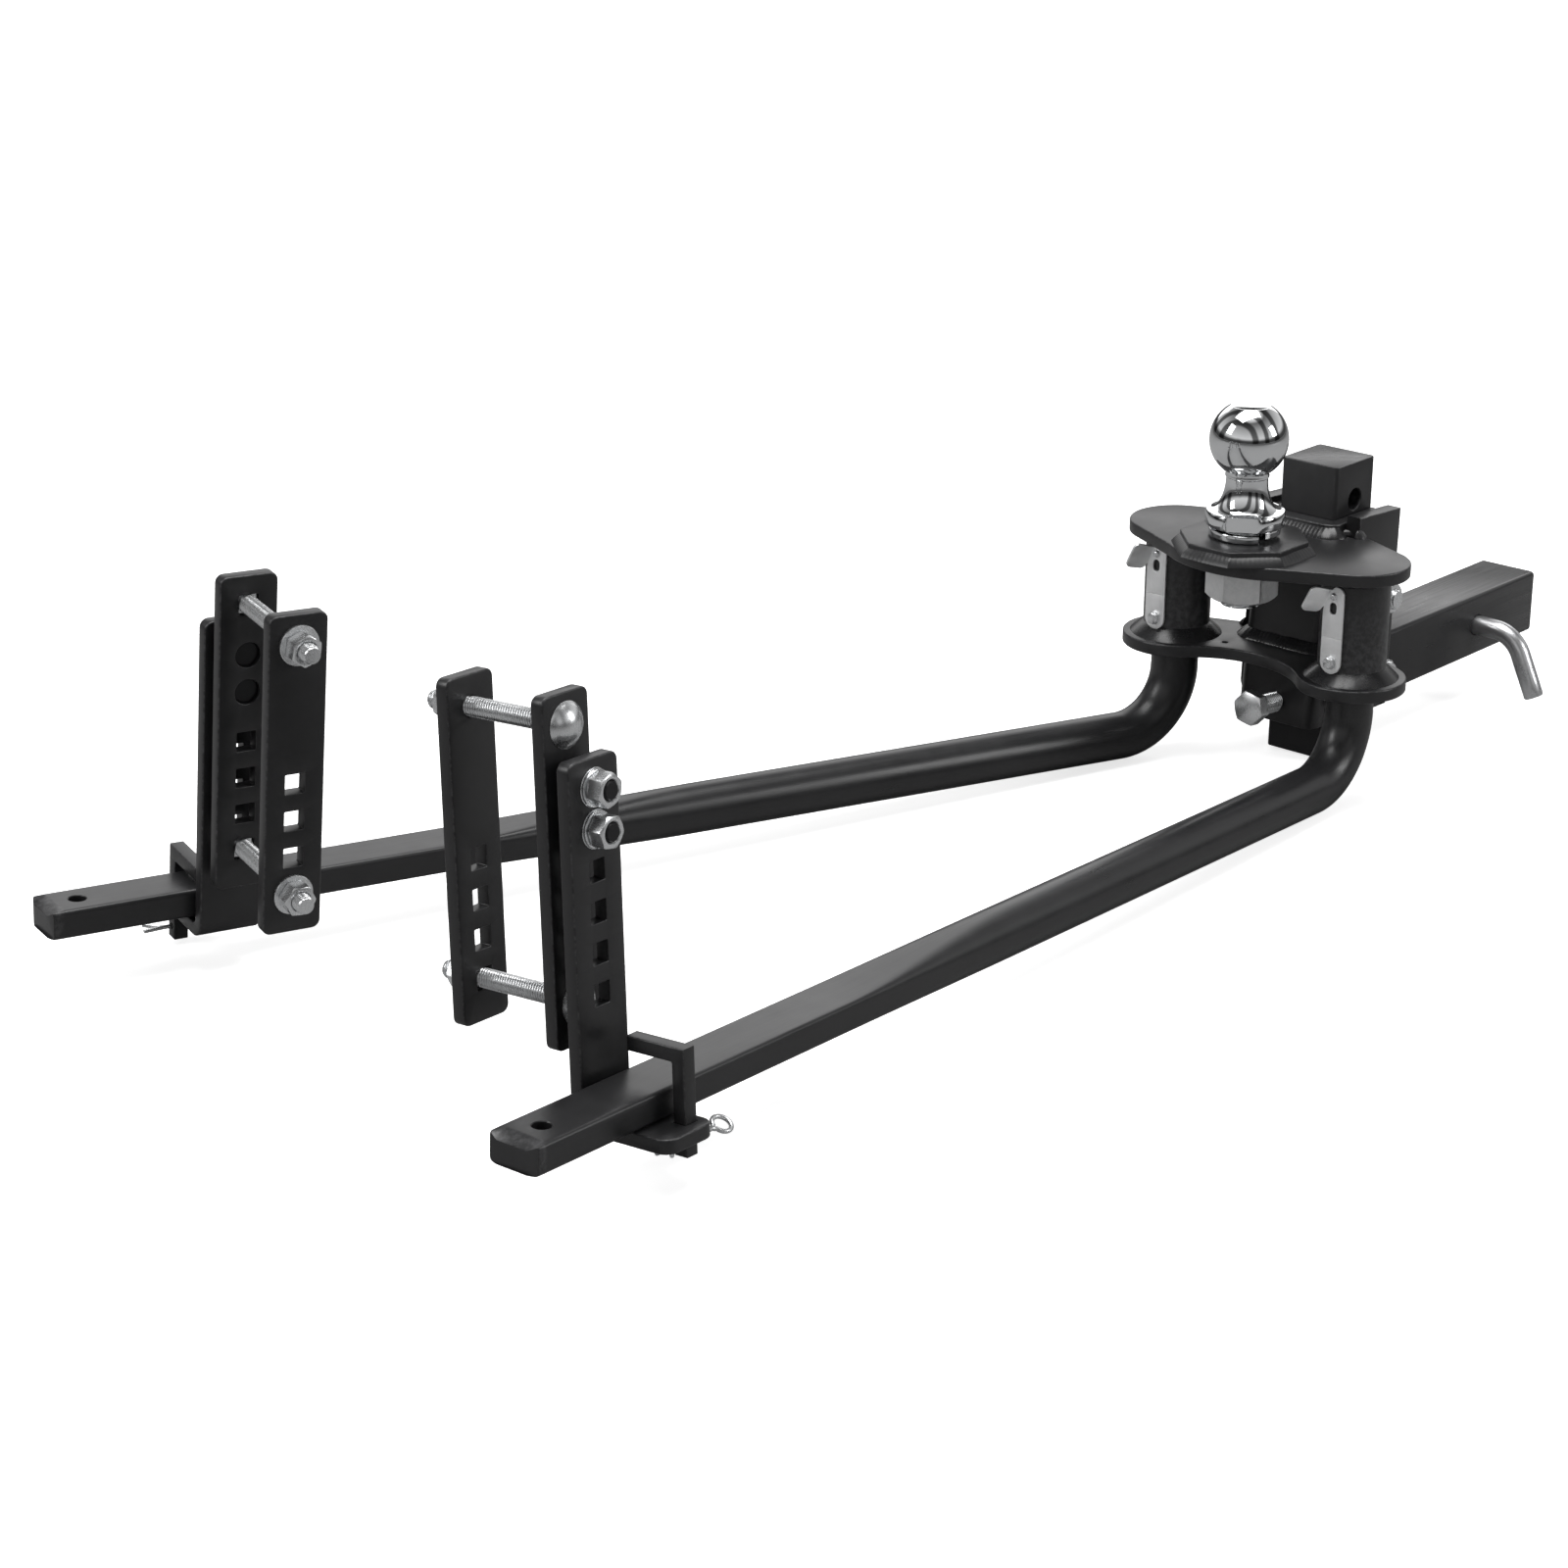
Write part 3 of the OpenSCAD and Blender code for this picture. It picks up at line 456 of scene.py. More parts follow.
# ---------------------------------------------------------------- materials
def material(name, base, rough, metallic=0.0, coat=0.0, spec=0.5, tint=0.25, spots=55.0, grain=None,
             peel=(900.0, 0.06), wear_col=None, wear_rough=0.0, wear_amount=0.0, rough_var=0.1, streak=0.0,
             scratch=0.0, edge_bright=0.0):
    """One finish: drifting colour, varying roughness, a fine surface bump, rubbed edges, optional grain."""
    mat = bpy.data.materials.new(name)
    mat.use_nodes = True
    nt = mat.node_tree
    nt.nodes.clear()

    def node(kind, **kw):
        nd = nt.nodes.new(kind)
        for k, val in kw.items():
            setattr(nd, k, val)
        return nd

    def link(a, ao, b, bi):
        nt.links.new(a.outputs[ao], b.inputs[bi])

    def noise(vec, scale, detail=3.0, rough_=0.55):
        nd = node("ShaderNodeTexNoise")
        nd.inputs["Scale"].default_value = scale
        nd.inputs["Detail"].default_value = detail
        nd.inputs["Roughness"].default_value = rough_
        nt.links.new(vec, nd.inputs["Vector"])
        return nd

    def ramp(src, lo, hi, a=0.0, b=1.0):
        nd = node("ShaderNodeMapRange")
        nt.links.new(src, nd.inputs["Value"])
        for key, val in (("From Min", lo), ("From Max", hi), ("To Min", a), ("To Max", b)):
            nd.inputs[key].default_value = val
        nd.clamp = True
        return nd

    def math_(op, a, b):
        nd = node("ShaderNodeMath", operation=op)
        for i, x in enumerate((a, b)):
            if isinstance(x, (int, float)):
                nd.inputs[i].default_value = x
            else:
                nt.links.new(x, nd.inputs[i])
        return nd.outputs[0]

    out = node("ShaderNodeOutputMaterial")
    bsdf = node("ShaderNodeBsdfPrincipled")
    link(bsdf, 0, out, 0)
    coord = node("ShaderNodeTexCoord").outputs["Object"]
    drift = noise(coord, spots, 4.0)
    broad = noise(coord, spots / 5.0, 2.0)
    both = math_("ADD", math_("MULTIPLY", drift.outputs[0], 0.5), math_("MULTIPLY", broad.outputs[0], 0.5))
    mix = node("ShaderNodeMix", data_type="RGBA")
    mix.inputs["A"].default_value = [c * (1 - tint) for c in base] + [1]
    mix.inputs["B"].default_value = [min(1.0, c * (1 + tint)) for c in base] + [1]
    nt.links.new(ramp(both, 0.3, 0.7).outputs[0], mix.inputs["Factor"])
    colour = mix.outputs["Result"]
    roughness = ramp(both, 0.3, 0.7, rough - rough_var / 2, rough + rough_var / 2).outputs[0]
    height = math_("MULTIPLY", noise(coord, peel[0], 2.0).outputs[0], peel[1])
    if grain:
        angle, scales, amount = grain
        mp = node("ShaderNodeMapping")
        nt.links.new(coord, mp.inputs["Vector"])
        mp.vector_type = "POINT"
        mp.inputs["Rotation"].default_value = [math.radians(x) for x in angle]
        mp2 = node("ShaderNodeMapping")
        link(mp, 0, mp2, "Vector")
        mp2.inputs["Scale"].default_value = scales
        g = noise(mp2.outputs[0], 1.0, 3.0, 0.6)
        height = math_("ADD", height, math_("MULTIPLY", g.outputs[0], amount))
        roughness = math_("ADD", roughness, ramp(g.outputs[0], 0.35, 0.65, -streak, streak).outputs[0])
        gm = node("ShaderNodeMix", data_type="RGBA")
        nt.links.new(ramp(g.outputs[0], 0.4, 0.75, 0.0, 0.35).outputs[0], gm.inputs["Factor"])
        nt.links.new(colour, gm.inputs["A"])
        gm.inputs["B"].default_value = [min(1.0, c * 1.25) for c in base] + [1]
        colour = gm.outputs["Result"]
    if scratch:
        mp = node("ShaderNodeMapping")
        nt.links.new(coord, mp.inputs["Vector"])
        mp.inputs["Rotation"].default_value = (0.4, 0.9, 0.6)
        mp.inputs["Scale"].default_value = (2600, 90, 90)
        sc = noise(mp.outputs[0], 1.0, 2.0)
        roughness = math_("ADD", roughness, ramp(sc.outputs[0], 0.56, 0.72, 0.0, scratch).outputs[0])
    if wear_amount:
        att = node("ShaderNodeAttribute", attribute_name="wear")
        rub = noise(coord, 240.0, 4.0, 0.7)
        mask = math_("MULTIPLY", att.outputs["Fac"], ramp(rub.outputs[0], 0.42, 0.62).outputs[0])
        mask = math_("MULTIPLY", mask, wear_amount)
        wm = node("ShaderNodeMix", data_type="RGBA")
        nt.links.new(mask, wm.inputs["Factor"])
        nt.links.new(colour, wm.inputs["A"])
        wm.inputs["B"].default_value = list(wear_col) + [1]
        colour = wm.outputs["Result"]
        roughness = math_("ADD", roughness, math_("MULTIPLY", mask, wear_rough))
    bump = node("ShaderNodeBump")
    bump.inputs["Strength"].default_value = 1.0
    bump.inputs["Distance"].default_value = 0.001
    nt.links.new(height, bump.inputs["Height"])
    nt.links.new(colour, bsdf.inputs["Base Color"])
    nt.links.new(roughness, bsdf.inputs["Roughness"])
    link(bump, 0, bsdf, "Normal")
    bsdf.inputs["Metallic"].default_value = metallic
    bsdf.inputs["Specular IOR Level"].default_value = spec
    bsdf.inputs["Coat Weight"].default_value = coat
    bsdf.inputs["Coat Roughness"].default_value = 0.22
    return mat


BLACK = (0.016, 0.016, 0.017)
coat_mat = material("black_powder_coat", BLACK, 0.36, spec=0.5, peel=(900.0, 0.012),
                    wear_col=(0.10, 0.10, 0.105), wear_rough=-0.08, wear_amount=0.55, rough_var=0.08)
weld_mat = material("black_coat_on_weld", BLACK, 0.27, spec=0.55, peel=(420.0, 0.03),
                    wear_col=(0.1, 0.1, 0.1), wear_amount=0.2, rough_var=0.12)
sawn_mat = material("black_coat_sawn_face", (0.022, 0.022, 0.023), 0.34, spec=0.5, peel=(800.0, 0.012),
                    grain=((0, 0, 38), (60, 900, 60), 0.05), streak=0.09,
                    wear_col=(0.12, 0.12, 0.12), wear_amount=0.5)
chrome_mat = material("polished_chrome", (0.80, 0.81, 0.82), 0.05, metallic=1.0, tint=0.03,
                      peel=(300.0, 0.002), rough_var=0.03, scratch=0.04,
                      wear_col=(0.9, 0.9, 0.9), wear_amount=0.3)
dull_mat = material("dull_zinc", (0.62, 0.625, 0.63), 0.40, metallic=0.75, tint=0.12, spots=90.0,
                    peel=(1300.0, 0.012), rough_var=0.16, scratch=0.1,
                    wear_col=(0.7, 0.7, 0.7), wear_rough=-0.1, wear_amount=0.6)
zinc_mat = material("bright_zinc", (0.76, 0.77, 0.78), 0.27, metallic=0.94, tint=0.04, spots=120.0,
                    peel=(900.0, 0.0012), rough_var=0.05, scratch=0.03, wear_col=(0.88, 0.88, 0.88),
                    wear_rough=-0.04, wear_amount=0.2)
sheet_mat = material("zinc_sheet", (0.90, 0.905, 0.91), 0.38, metallic=0.72, tint=0.06, spots=160.0,
                     peel=(2000.0, 0.010), grain=((0, 0, 0), (900, 900, 60), 0.012),
                     streak=0.05, rough_var=0.14,
                     wear_col=(0.9, 0.9, 0.9), wear_rough=-0.1, wear_amount=0.6)
steel_mat = material("satin_steel", (0.62, 0.625, 0.635), 0.30, metallic=0.92, tint=0.03,
                     peel=(1200.0, 0.005), grain=((0, 0, 0), (300, 20, 300), 0.001),
                     streak=0.02, rough_var=0.04, scratch=0.03,
                     wear_col=(0.75, 0.75, 0.75), wear_amount=0.5)
oxide_mat = material("black_oxide", (0.02, 0.02, 0.021), 0.36, metallic=0.6, tint=0.2, peel=(900.0, 0.012),
                     wear_col=(0.2, 0.2, 0.2), wear_amount=0.4)
bar_mats = {s: material(S[s] + "_bar_coat", (0.017, 0.017, 0.018), 0.32, spec=0.5, peel=(900.0, 0.010),
                        grain=((0, 0, s * SPLAY[s]), (18, 620, 420), 0.008), streak=0.02,
                        wear_col=(0.11, 0.11, 0.115), wear_rough=-0.06, wear_amount=0.5, rough_var=0.08)
            for s in (-1, 1)}
shank_mat = material("black_coat_drawn_bar", (0.017, 0.017, 0.018), 0.33, spec=0.5, peel=(900.0, 0.010),
                     grain=((0, 0, 0), (14, 480, 480), 0.008), streak=0.05, wear_col=(0.11, 0.11, 0.115),
                     wear_rough=-0.06, wear_amount=0.5, rough_var=0.08)
HEAD = "head_body"


# ---------------------------------------------------------------- shank and vertical bar
def square_bar(w, r, h, chamfer=0.9, n=8):
    """Rounded square bar along +Z from 0 to h with eased ends."""
    loop = np.array(round_rect(-w / 2, w / 2, -w / 2, w / 2, r, n))
    rows = []
    for d, z in ((chamfer, 0), (chamfer * 0.3, chamfer * 0.3), (0, chamfer), (0, h - chamfer),
                 (chamfer * 0.3, h - chamfer * 0.3), (chamfer, h)):
        q = offset(loop, d)
        rows.append(np.column_stack([q, np.full(len(q), z)]))
    return skin(rows, wear=[0, 1, 0, 0, 1, 0])


bar = Part().add(square_bar(50.8, 3.2, 232.9), T(BAR_X, 0, -268)).build(
    "vertical_bar_body", HEAD, coat_mat, "black_coat", "vertical_bar")
for z in (-64.4, -99.7) + BOLT_Z:
    cut(bar, hole_cutter(8.35, -25.4, 25.4, 0.8), T(BAR_X, 0, z) @ TO_Y)
bar.data.materials.append(sawn_mat)
for p in bar.data.polygons:
    if p.normal.z > 0.9 and p.center.z > -0.0356:
        p.material_index = 1

shank = Part().add(square_bar(50.8, 3.5, 256.1, 1.2), T(134.4, 0, SHANK_Z) @ TO_X).build(
    "receiver_shank_body", HEAD, shank_mat, "black_coat", "receiver_shank")
cut(shank, hole_cutter(8.35, -25.4, 25.4, 0.7), T(PIN_X, 0, SHANK_Z) @ TO_Y)

w = Part()
for k, s in enumerate((-1, 1)):
    pts = [(134.4, y, SHANK_Z + s * 25.4) for y in np.linspace(-21.5, 21.5, 60)]
    w.add(weld(pts, (1, 0, 0), (0, 0, s), (6, 6), seed=11 + k))
w.build("shank_weld_beads", HEAD, weld_mat, "black_coat", "shank_weld")


# ---------------------------------------------------------------- head plates, sleeve, sockets
def both(edge, middle):
    return edge + middle + [(x, -y) for x, y in edge[::-1]]


top = both([(87, 50.3)] + arc(32, 80, 39, 24, 153, 44), arc(44.2, 0, 86.7, 146, 214, 30))
top += [(87, -47.9), (78, -47.9), (78, -33), (68, -33), (68, 33), (78, 33), (78, 47.9), (87, 47.9)]
Part().add(slab(densify(top, 8), [disc(0, 0, 16.3)], BELOW, TOP, 1.3)).build(
    "top_plate", HEAD, coat_mat, "black_coat", "head_top_plate")
low = both([(86, 50.3)] + arc(32, 80, 41, 22, 226, 64), arc(-45.1, 0, 70.1, 44, -44, 34))
low += [(86, -47.9), (76, -47.9), (76, -33), (60, -33), (60, 33), (76, 33), (76, 47.9), (86, 47.9)]
Part().add(slab(densify(low, 8), [disc(32, 80, 24.5), disc(32, -80, 24.5), disc(32, 34, 2.5, 20)],
                -182.5, -173, 1.2)).build("bottom_plate", HEAD, coat_mat, "black_coat", "head_bottom_plate")

for s in (-1, 1):
    tubep = lathe([(18.65, -181.5), (19.6, -182.5), (24.8, -182.5), (25.65, -181.7), (25.65, BELOW),
                   (18.65, BELOW)], 96, True, [0, .6, .6, 1, 0, 0])
    o = Part().add(tubep, T(32, s * 80, 0)).build(
        S[s] + "_socket_tube", HEAD, coat_mat, "black_coat", S[s] + "_socket")
    cut(o, hole_cutter(5, 0, 20, 0.6), T(-2, s * 80 + 1.5, -106) @ TO_X)


def sleeve_loop(half, r, x0, reach, n=10):
    left, right = arc(x0 + r, half - r, r, 90, 180, n), arc(x0 + r, r - half, r, 180, 270, n)
    return [(reach, half)] + left + right + [(reach, -half)]


outer = sleeve_loop(35.6, 10, 0, 64.5)
innerl = sleeve_loop(26.1, 3, 12.7, 64.5)[::-1]
loop = densify([tuple(p) for p in outer + innerl], 9)
v, f, wr = slab(loop, (), SLEEVE_LOW, SLEEVE_TOP, 1.0)
v[:, 0] = v[:, 0] / cosd(TILT) + wall_x(v[:, 2])
Part().add((v, f, wr)).build("channel_sleeve", HEAD, coat_mat, "black_coat", "head_sleeve")

sp = Part()
for s in (-1, 1):
    poly = densify([(83, -69.5), (139, -73), (135, -229.5)] + arc(88.5, -216.5, 12, 270, 183, 10), 20)
    holes = [disc(BAR_X, z, 8.35, 40) for z in BOLT_Z]
    v, f, wr = slab(poly, holes, 35.6, 48.3, 1.0)
    sp.add((np.stack([v[:, 0], s * v[:, 2], v[:, 1]], 1), f, wr))
sp.build("side_plates", HEAD, coat_mat, "black_coat", "head_side_plates")

w = Part()
for s in (-1, 1):
    for z, up, size, seed in ((BELOW, -1, (5, 4.5), 3), (LOW, 1, (9.8, 8.6), 5)):
        a = np.linspace(0, 2 * math.pi, 300, endpoint=False)
        radial = np.stack([np.cos(a), np.sin(a), 0 * a], 1)
        pts = np.array([32, s * 80, z]) + 25.65 * radial
        w.add(weld(pts, radial, (0, 0, up), size, closed=True, seed=seed + s, bulge=0.95,
                   ripple=0.0, lumps=0.012))
w.build("socket_welds", HEAD, weld_mat, "black_coat", "head_socket_welds")

w = Part()
for z, seed in ((TOP, 21), (LOW, 23)):
    x = wall_x(z)
    # points and outward normals round the sleeve, from one side plate to the other
    sec = [(x + 12, 35.6, 0, 1)]
    for a in np.linspace(0, math.pi / 2, 18):
        ca, sa = math.cos(a), math.sin(a)
        sec.append((x + 10 - 10 * sa, 25.6 + 10 * ca, -sa, ca))
    sec += [(x, y, -1, 0) for y in np.linspace(24.6, 0, 25)]
    sec += [(px, -py, nx, -ny) for px, py, nx, ny in sec[-2::-1]]
    q = np.array(sec)
    pts = np.column_stack([q[:, :2], np.full(len(q), z)])
    outward = np.column_stack([q[:, 2:], np.zeros(len(q))])
    w.add(weld(pts, outward, (0, 0, 1), (8, 7), seed=seed, bulge=0.85))
    for s in (-1, 1):
        run = [(q, s * 48.3, z) for q in np.linspace(76, 88, 26)]
        w.add(weld(run, (0, s, 0), (0, 0, 1), (6, 6), seed=seed + s + 5))
for s in (-1, 1):
    run = [(83.0 - (-72 - z) * 0.056, s * 35.8, z) for z in np.linspace(-80, -205, 120)]
    w.add(weld(run, (-1, 0, -0.056), (0, s, 0), (4.6, 6.2), seed=41 + s, bulge=0.9, ripple=0.012))
w.build("sleeve_welds", HEAD, weld_mat, "black_coat", "head_sleeve_welds")

corner = 45 / cosd(22.5)
octo = [(corner * cosd(22.5 + 45 * i), corner * sind(22.5 + 45 * i)) for i in range(8)]
pad = Part().add(slab(densify(octo, 6), [disc(0, 0, 16.3)], TOP, TOP + 10, 0.9))
path = np.array(densify(octo, 1.2))
nrm = path / np.linalg.norm(path, axis=1, keepdims=True)
pts = np.column_stack([path, np.full(len(path), TOP)])
outward = np.column_stack([nrm, 0 * nrm[:, 0]])
pad.add(weld(pts, outward, (0, 0, 1), (6.2, 6.5), closed=True, seed=31, bulge=0.8))
pad.build("ball_pad_plate", HEAD, coat_mat, "black_coat", "ball_pad")

# ---------------------------------------------------------------- ball, lock washer, nut
R = 29.37
prof = [(0.02, 25.2), (12.6, 25.2), (13.4, 25.4), (14.2, 25.55), (14.9, 25.3)]
prof += [(R * cosd(a), R * sind(a)) for a in np.linspace(59.5, -56.5, 56)]
za = prof[-1][1]
prof += [(16.0, za - 0.9), (16.5, za - 2.2), (16.4, za - 3.4), (15.6, za - 4.2)]
prof += [(27.5 - 11.9 * math.cos(a), -29.5 - 24.0 * math.sin(a)) for a in np.linspace(0.12, math.pi / 2, 26)]
prof += [(28.9, -53.6), (29.6, -54.5), (29.65, -63.5), (29.0, -64.5), (16.0, -64.5)]
prof += [(15.875, -65.0), (15.875, -93)]
c, s_ = circle(144)
th = np.degrees(np.arctan2(s_, c))
flat = 26.5 / np.maximum(np.abs(np.cos(np.radians(th - 30))), 1e-3)
rings = []
for r, z in prof:
    rr = np.full(144, max(r, 0.02))
    if -64.6 < z < -53.4 and r > 20:
        rr = np.minimum(rr, flat)
    rings.append(np.stack([rr * c, rr * s_, np.full(144, z)], 1))
ball = Part().add(skin(rings))
ball.add(thread(31.75, -127, -91, 2.2, 60, (True, False)))
ball.build("ball_and_shank", HEAD, chrome_mat, "ball_chrome", "hitch_ball")

t = np.linspace(0, 1, 120)
ang = np.radians(-112 + 2 + 348 * t)
lw = np.array(round_rect(-5.0, 5.0, -2.9, 2.9, 0.8, 3))
pts = np.stack([21.6 * np.cos(ang), 21.6 * np.sin(ang), -69.35 + 1.35 * (1 - 2 * t)], 1)
Part().add(sweep(pts, lw)).build("split_lock_washer", HEAD, chrome_mat, "ball_chrome", "ball_lock_washer")
Part().add(hexpiece(47.6, 28, 31.9, 96, face=0.93), T(0, 0, BELOW - 28) @ rot("Z", 34)).build(
    "ball_shank_nut", HEAD, dull_mat, "dull_zinc", "ball_nut")

# ---------------------------------------------------------------- bolts on the head
def wallm(z):
    """Frame at height z on the sleeve's rear wall, its +Z along the wall's inward normal."""
    return T(wall_x(z), 0, z) @ rot("Y", 90 + TILT)


Part().add(thread(15.88, -27, 27.3, 2.31, 40), wallm(-218.6)).add(
    hexpiece(23.8, 10.2, n=72, high=False, face=0.93), wallm(-218.6) @ T(0, 0, -36.7) @ rot("Z", 12)).build(
    "tilt_adjust_bolt", "tilt_bolt_body", zinc_mat, "bright_zinc", "tilt_bolt")
Part().add(thread(12.7, -25.5, 17.9, 1.95, 36), wallm(-104)).build(
    "upper_set_screw", HEAD, zinc_mat, "bright_zinc", "head_set_screw")

cb, cw, cn = Part(), Part(), Part()
for i, z in enumerate(BOLT_Z):
    base = T(BAR_X, 0, z) @ TO_Y
    cb.add(lathe([(7.94, -45), (7.94, 51.2)], 40), base)
    cb.add(thread(15.88, -69.3, -44, 2.31, 40, (True, False)), base)
    cb.add(hexpiece(23.8, 10, n=72, low=False, face=0.93), base @ T(0, 0, 50.8) @ rot("Z", 20 + 25 * i))
    for q in (48.3, -50.8):
        cw.add(washer(29.5, 16.3, 2.5), base @ T(0, 0, q))
    cn.add(hexpiece(23.8, 13.0, 15.98, n=72, high=False, face=0.93),
           base @ T(0, 0, -63.8) @ rot("Z", 10 + 30 * i))
    collar = [(11.6, -13.0), (11.4, -14.4), (10.6, -15.3), (9.2, -15.5), (8.1, -15.4), (8.0, -13.0)]
    cn.add(lathe(collar, 48, True), base @ T(0, 0, -50.8))
cb.build("sleeve_cross_bolts", HEAD, zinc_mat, "bright_zinc", "cross_bolts")
cw.build("sleeve_cross_washers", HEAD, zinc_mat, "bright_zinc", "cross_washers")
cn.build("sleeve_cross_nuts", HEAD, zinc_mat, "bright_zinc", "cross_nuts")

# ---------------------------------------------------------------- hitch pin and its clip
path = [(PIN_X, 71.4, SHANK_Z)] + [(PIN_X, y, SHANK_Z) for y in np.linspace(60, -37, 20)]
for a in np.linspace(0, 65, 22):
    path.append((PIN_X, -42 - 28 * sind(a), SHANK_Z - 28 + 28 * cosd(a)))
y0, z0 = path[-1][1], path[-1][2]
for q in (10, 22, 36):
    path.append((PIN_X, y0 - q * cosd(65), z0 - q * sind(65)))
o = Part().add(tube(path, 7.94, 40, up=(1, 0, 0), nose=1.6)).build(
    "bent_hitch_pin", "hitch_pin_body", steel_mat, "pin_steel", "hitch_pin")
cut(o, hole_cutter(2.2, -9, 9, 0.3, 24), T(PIN_X, 64.4, SHANK_Z))
path = [(0, 0, 16), (0, 0, 8)] + [(0, 0, z) for z in np.linspace(0, -34, 8)]
path += [(0, 5.6 - 5.6 * math.cos(a), -34 - 5.6 * math.sin(a)) for a in np.linspace(0.15, math.pi, 14)]
path += [(0, 11.2 - 0.9 * math.sin(math.pi * q), -34 + 24 * q) for q in np.linspace(0.1, 0.9, 9)]
path += [(0, 11.6, -9.2)]
Part().add(tube(path, 1.9, 14, up=(1, 0, 0), nose=0.8), T(PIN_X, 64.4, SHANK_Z)).build(
    "hairpin_clip", "pin_clip_body", zinc_mat, "bright_zinc", "hitch_pin_clip")


# ---------------------------------------------------------------- retaining clips on the sockets
def fold_tab(v):
    """Bends the flat tab out along its diagonal crease; v is (y, z, h), h outward from the socket."""
    ph = math.radians(25)
    p0 = np.array([7.95, -115.5])
    d = np.array([-math.sin(ph), math.cos(ph)])
    nrm = np.array([math.cos(ph), math.sin(ph)])
    rel = v[:, :2] - p0
    s, q, h = rel @ nrm, rel @ d, v[:, 2]
    lim = math.radians(62)
    sa = 2.0 * lim
    f = np.clip(s / 2.0, 0, lim)
    far = np.maximum(s - sa, 0)
    rr = 3.0 - h
    s2 = np.where(s > 0, rr * np.sin(f) + far * math.cos(lim), s)
    h2 = np.where(s > 0, 3.0 - rr * np.cos(f) + far * math.sin(lim), h)
    yz = p0 + s2[:, None] * nrm + q[:, None] * d
    return np.column_stack([yz, h2])


for s in (-1, 1):
    base = np.array([[0, 0, -1, 6.35], [1, 0, 0, s * 80 + 1.5], [0, 1, 0, 0], [0, 0, 0, 1.0]])
    low_c = -157.3
    root = arc(0, low_c, 8.75, 180, 360, 24) + [(8.75, -138.3), (-8.75, -138.3)]
    Part().add(slab(densify(root, 6), [disc(0, low_c, 2.7, 24)], 0, 2, 0.35, 2), base).build(
        S[s] + "_clip_root_strip", HEAD, sheet_mat, "bright_zinc", S[s] + "_clip_root")
    ph = math.radians(25)
    fold_at = np.array([7.95, -115.5])
    fold_along = np.array([-math.sin(ph), math.cos(ph)])
    fold_out = np.array([math.cos(ph), math.sin(ph)])
    tab = [fold_at + fold_along * 0.3 + fold_out * 0.6]
    for cs, cq, a0 in ((6.0, -1.4, 180), (14.6, -1.4, -90), (14.6, 12.2, 0)):
        for a in np.linspace(a0, a0 + 90, 8):
            tab.append(fold_at + fold_out * (cs + 4.2 * cosd(a)) + fold_along * (cq + 4.2 * sind(a)))
    tab.append(fold_at + fold_along * 15.2 + fold_out * 0.8)
    leaf = [(-8.75, -138.3), (8.75, -138.3), (8.75, -118.6)] + [tuple(q) for q in tab] + [(-1.2, -98.5)]
    leaf += arc(-2.75, -104.5, 6, 90, 180, 10)
    slot = arc(0, -113.8, 2.9, 0, 180, 8) + arc(0, -117.2, 2.9, 180, 360, 8)
    ex = [tuple(fold_at + fold_out * a + fold_along * b)
          for a in np.arange(-0.5, 3.2, 0.55) for b in np.arange(-3, 16, 1.5)]
    m = slab(densify(leaf, 1.2), [slot, disc(0, -106, 2.1, 16)], 0, 2, 0.35, 2, extra=ex)
    m = (fold_tab(m[0]), m[1], m[2])
    body = S[s] + "_clip_body"
    Part().add(m, base).build(
        S[s] + "_clip_leaf_strip", body, sheet_mat, "bright_zinc", S[s] + "_clip_leaf")
    pm = T(4.35, s * 80 + 1.5, -106) @ TO_X
    Part().add(lathe([(0.02, -2.5), (1.5, -2.35), (2.4, -1.7), (2.95, -0.6), (3.0, 0), (2.0, 0), (2.0, 2),
                      (3.0, 2), (3.0, 10.6), (2.2, 11.5), (0.02, 11.5)], 32), pm).build(
        S[s] + "_detent_rivet", body, zinc_mat, "bright_zinc", S[s] + "_detent_pin")
    pm = T(4.35, s * 80 + 1.5, low_c) @ TO_X
    Part().add(hexpiece(8, 3.4, n=48, high=False, face=0.93), pm @ T(0, 0, -3.4) @ rot("Z", 14)).add(
        lathe([(2.4, -0.5), (2.4, 2.0)], 24), pm).add(
        lathe([(4.4, -0.5), (5.0, -0.25), (5.0, 0), (2.4, 0)], 32), pm).build(
        S[s] + "_clip_hex_screw", HEAD, zinc_mat, "bright_zinc", S[s] + "_clip_screw")


# ---------------------------------------------------------------- spring bars
def bar_section(k, n=64):
    """Cross section from round (k=0) to flat (k=1), as (sideways, up)."""
    a = np.linspace(0, 2 * math.pi, n, endpoint=False) + math.pi / n
    rc = np.stack([18.25 * np.cos(a), 18.25 * np.sin(a)], 1)
    if k <= 0:
        return rc
    hw, hh, cz, cr = 19.25, 9.85, 0.35, 3.2
    # rounded rectangle sampled by the same angles, spread so that corners keep points
    q = []
    for t in a:
        ct, st = math.cos(t), math.sin(t)
        e = 0.16
        x = math.copysign(abs(ct) ** e, ct) * hw
        y = math.copysign(abs(st) ** e, st) * hh
        q.append((x, y))
    q = np.array(q)
    inner = np.clip(q, [-(hw - cr), -(hh - cr)], [hw - cr, hh - cr])
    d = q - inner
    ln = np.linalg.norm(d, axis=1)
    scale = np.where(ln > cr, cr / np.maximum(ln, 1e-6), 1)
    q = inner + d * scale[:, None] + np.array([0, cz])
    k2 = k * k * (3 - 2 * k)
    return rc * (1 - k2) + q * k2


